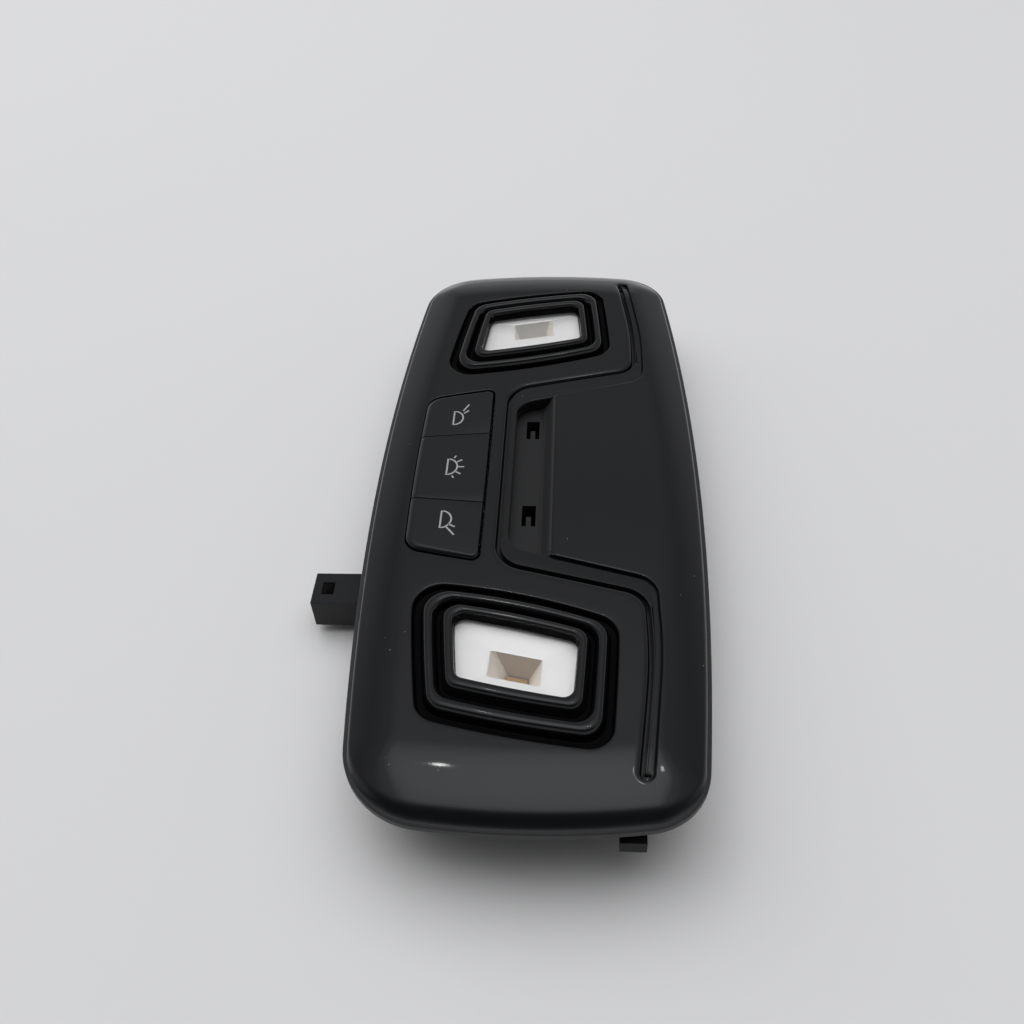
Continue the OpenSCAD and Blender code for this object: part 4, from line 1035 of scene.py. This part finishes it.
class ROOFLIGHT_OT_stage(bpy.types.Operator):
    """Builds the floor, the lamps and the camera"""

    bl_idname = "rooflight.stage"
    bl_label = "Stage"

    def floor(self, context):
        bm = bmesh.new()
        bmesh.ops.create_grid(bm, x_segments=1, y_segments=1, size=FLOOR_SIZE)
        mesh = bpy.data.meshes.new("floor")
        bm.to_mesh(mesh)
        bm.free()
        floor = bpy.data.objects.new("floor", mesh)
        context.scene.collection.objects.link(floor)
        mat, _, shader = new_material("Floor")
        set_inputs(shader, {"Base Color": (*context.scene.rooflight_stage.floor_colour, 1),
                            "Roughness": 0.9, "Specular IOR Level": 0.1})
        mesh.materials.append(mat)

    def soft_step(self, tree, value, span, top):
        """A value that goes softly from 0 to top while another goes over a span."""
        node = tree.nodes.new("ShaderNodeMapRange")
        node.interpolation_type = "SMOOTHSTEP"
        set_inputs(node, {"From Min": span[0], "From Max": span[1], "To Min": 0.0, "To Max": top})
        tree.links.new(value, node.inputs["Value"])
        return node.outputs["Result"]

    def studio(self, context):
        world = bpy.data.worlds.new("Studio")
        context.scene.world = world
        world.use_nodes = True
        tree = world.node_tree
        sky = tree.nodes["Background"]
        sky.inputs["Color"].default_value = (0.97, 0.98, 1.0, 1)
        coords = tree.nodes.new("ShaderNodeTexCoord")
        axes = tree.nodes.new("ShaderNodeSeparateXYZ")
        tree.links.new(coords.outputs["Generated"], axes.inputs[0])
        ramp = tree.nodes.new("ShaderNodeValToRGB")
        ramp.color_ramp.interpolation = "EASE"
        steps = ramp.color_ramp.elements
        for place, _ in STUDIO_LEVELS[1:-1]:
            steps.new(place)
        for step, (place, level) in zip(steps, STUDIO_LEVELS):
            step.color = (level, level, level, 1)
        tree.links.new(axes.outputs["Z"], ramp.inputs["Fac"])
        shaded = self.soft_step(tree, axes.outputs["Y"], SHADE_RANGE, SHADE_DEPTH)
        raised = self.soft_step(tree, axes.outputs["Z"], RAISED_RANGE, 1.0)
        lit = math_node(tree, "SUBTRACT", 1.0, math_node(tree, "MULTIPLY", shaded, raised))
        tree.links.new(math_node(tree, "MULTIPLY", ramp.outputs["Color"], lit), sky.inputs["Strength"])

    def execute(self, context):
        scene = context.scene
        stage = scene.rooflight_stage
        self.floor(context)
        self.studio(context)
        for name, (where, size, share, seen) in STAGE_LAMPS.items():
            lamp = bpy.data.lights.new(name, "AREA")
            lamp.size = size
            lamp.energy = stage.lamp_power * share
            obj = bpy.data.objects.new(name, lamp)
            obj.location = where
            obj.rotation_euler = Vector(where).to_track_quat("Z", "Y").to_euler()
            obj.visible_glossy = seen
            scene.collection.objects.link(obj)

        camera = bpy.data.cameras.new("camera")
        camera.lens = stage.camera_lens
        camera.sensor_width = 36.0
        camera.clip_start = 0.01
        view = bpy.data.objects.new("camera", camera)
        view.location = CAMERA_PLACE
        view.rotation_euler = Euler([math.radians(a) for a in CAMERA_TURN])
        scene.collection.objects.link(view)
        scene.camera = view
        scene.view_settings.view_transform = "Standard"
        return {"FINISHED"}


STEPS = (ROOFLIGHT_OT_materials, ROOFLIGHT_OT_stage, ROOFLIGHT_OT_face, ROOFLIGHT_OT_carrier, ROOFLIGHT_OT_keys,
         ROOFLIGHT_OT_reflectors, ROOFLIGHT_OT_back, ROOFLIGHT_OT_nodes)


class ROOFLIGHT_PT_panel(bpy.types.Panel):
    """Lists the steps that build the light"""

    bl_idname = "ROOFLIGHT_PT_panel"
    bl_label = "Roof console light"
    bl_space_type = "VIEW_3D"
    bl_region_type = "UI"
    bl_category = "Roof light"

    def draw(self, context):
        for step in STEPS:
            self.layout.operator(step.bl_idname)


GROUPS = (FaceSizes, Finishes, StageSettings)


def register():
    for cls in GROUPS + STEPS + (ROOFLIGHT_PT_panel,):
        bpy.utils.register_class(cls)
    bpy.types.Scene.rooflight_face = bpy.props.PointerProperty(type=FaceSizes)
    bpy.types.Scene.rooflight_finishes = bpy.props.PointerProperty(type=Finishes)
    bpy.types.Scene.rooflight_stage = bpy.props.PointerProperty(type=StageSettings)


def unregister():
    del bpy.types.Scene.rooflight_face
    del bpy.types.Scene.rooflight_finishes
    del bpy.types.Scene.rooflight_stage
    for cls in reversed(GROUPS + STEPS + (ROOFLIGHT_PT_panel,)):
        bpy.utils.unregister_class(cls)


def main():
    register()
    bpy.ops.rooflight.materials()
    bpy.ops.rooflight.stage()
    bpy.ops.rooflight.face()
    bpy.ops.rooflight.carrier()
    bpy.ops.rooflight.keys()
    bpy.ops.rooflight.reflectors()
    bpy.ops.rooflight.back()
    bpy.ops.rooflight.nodes()


if __name__ == "__main__":
    main()
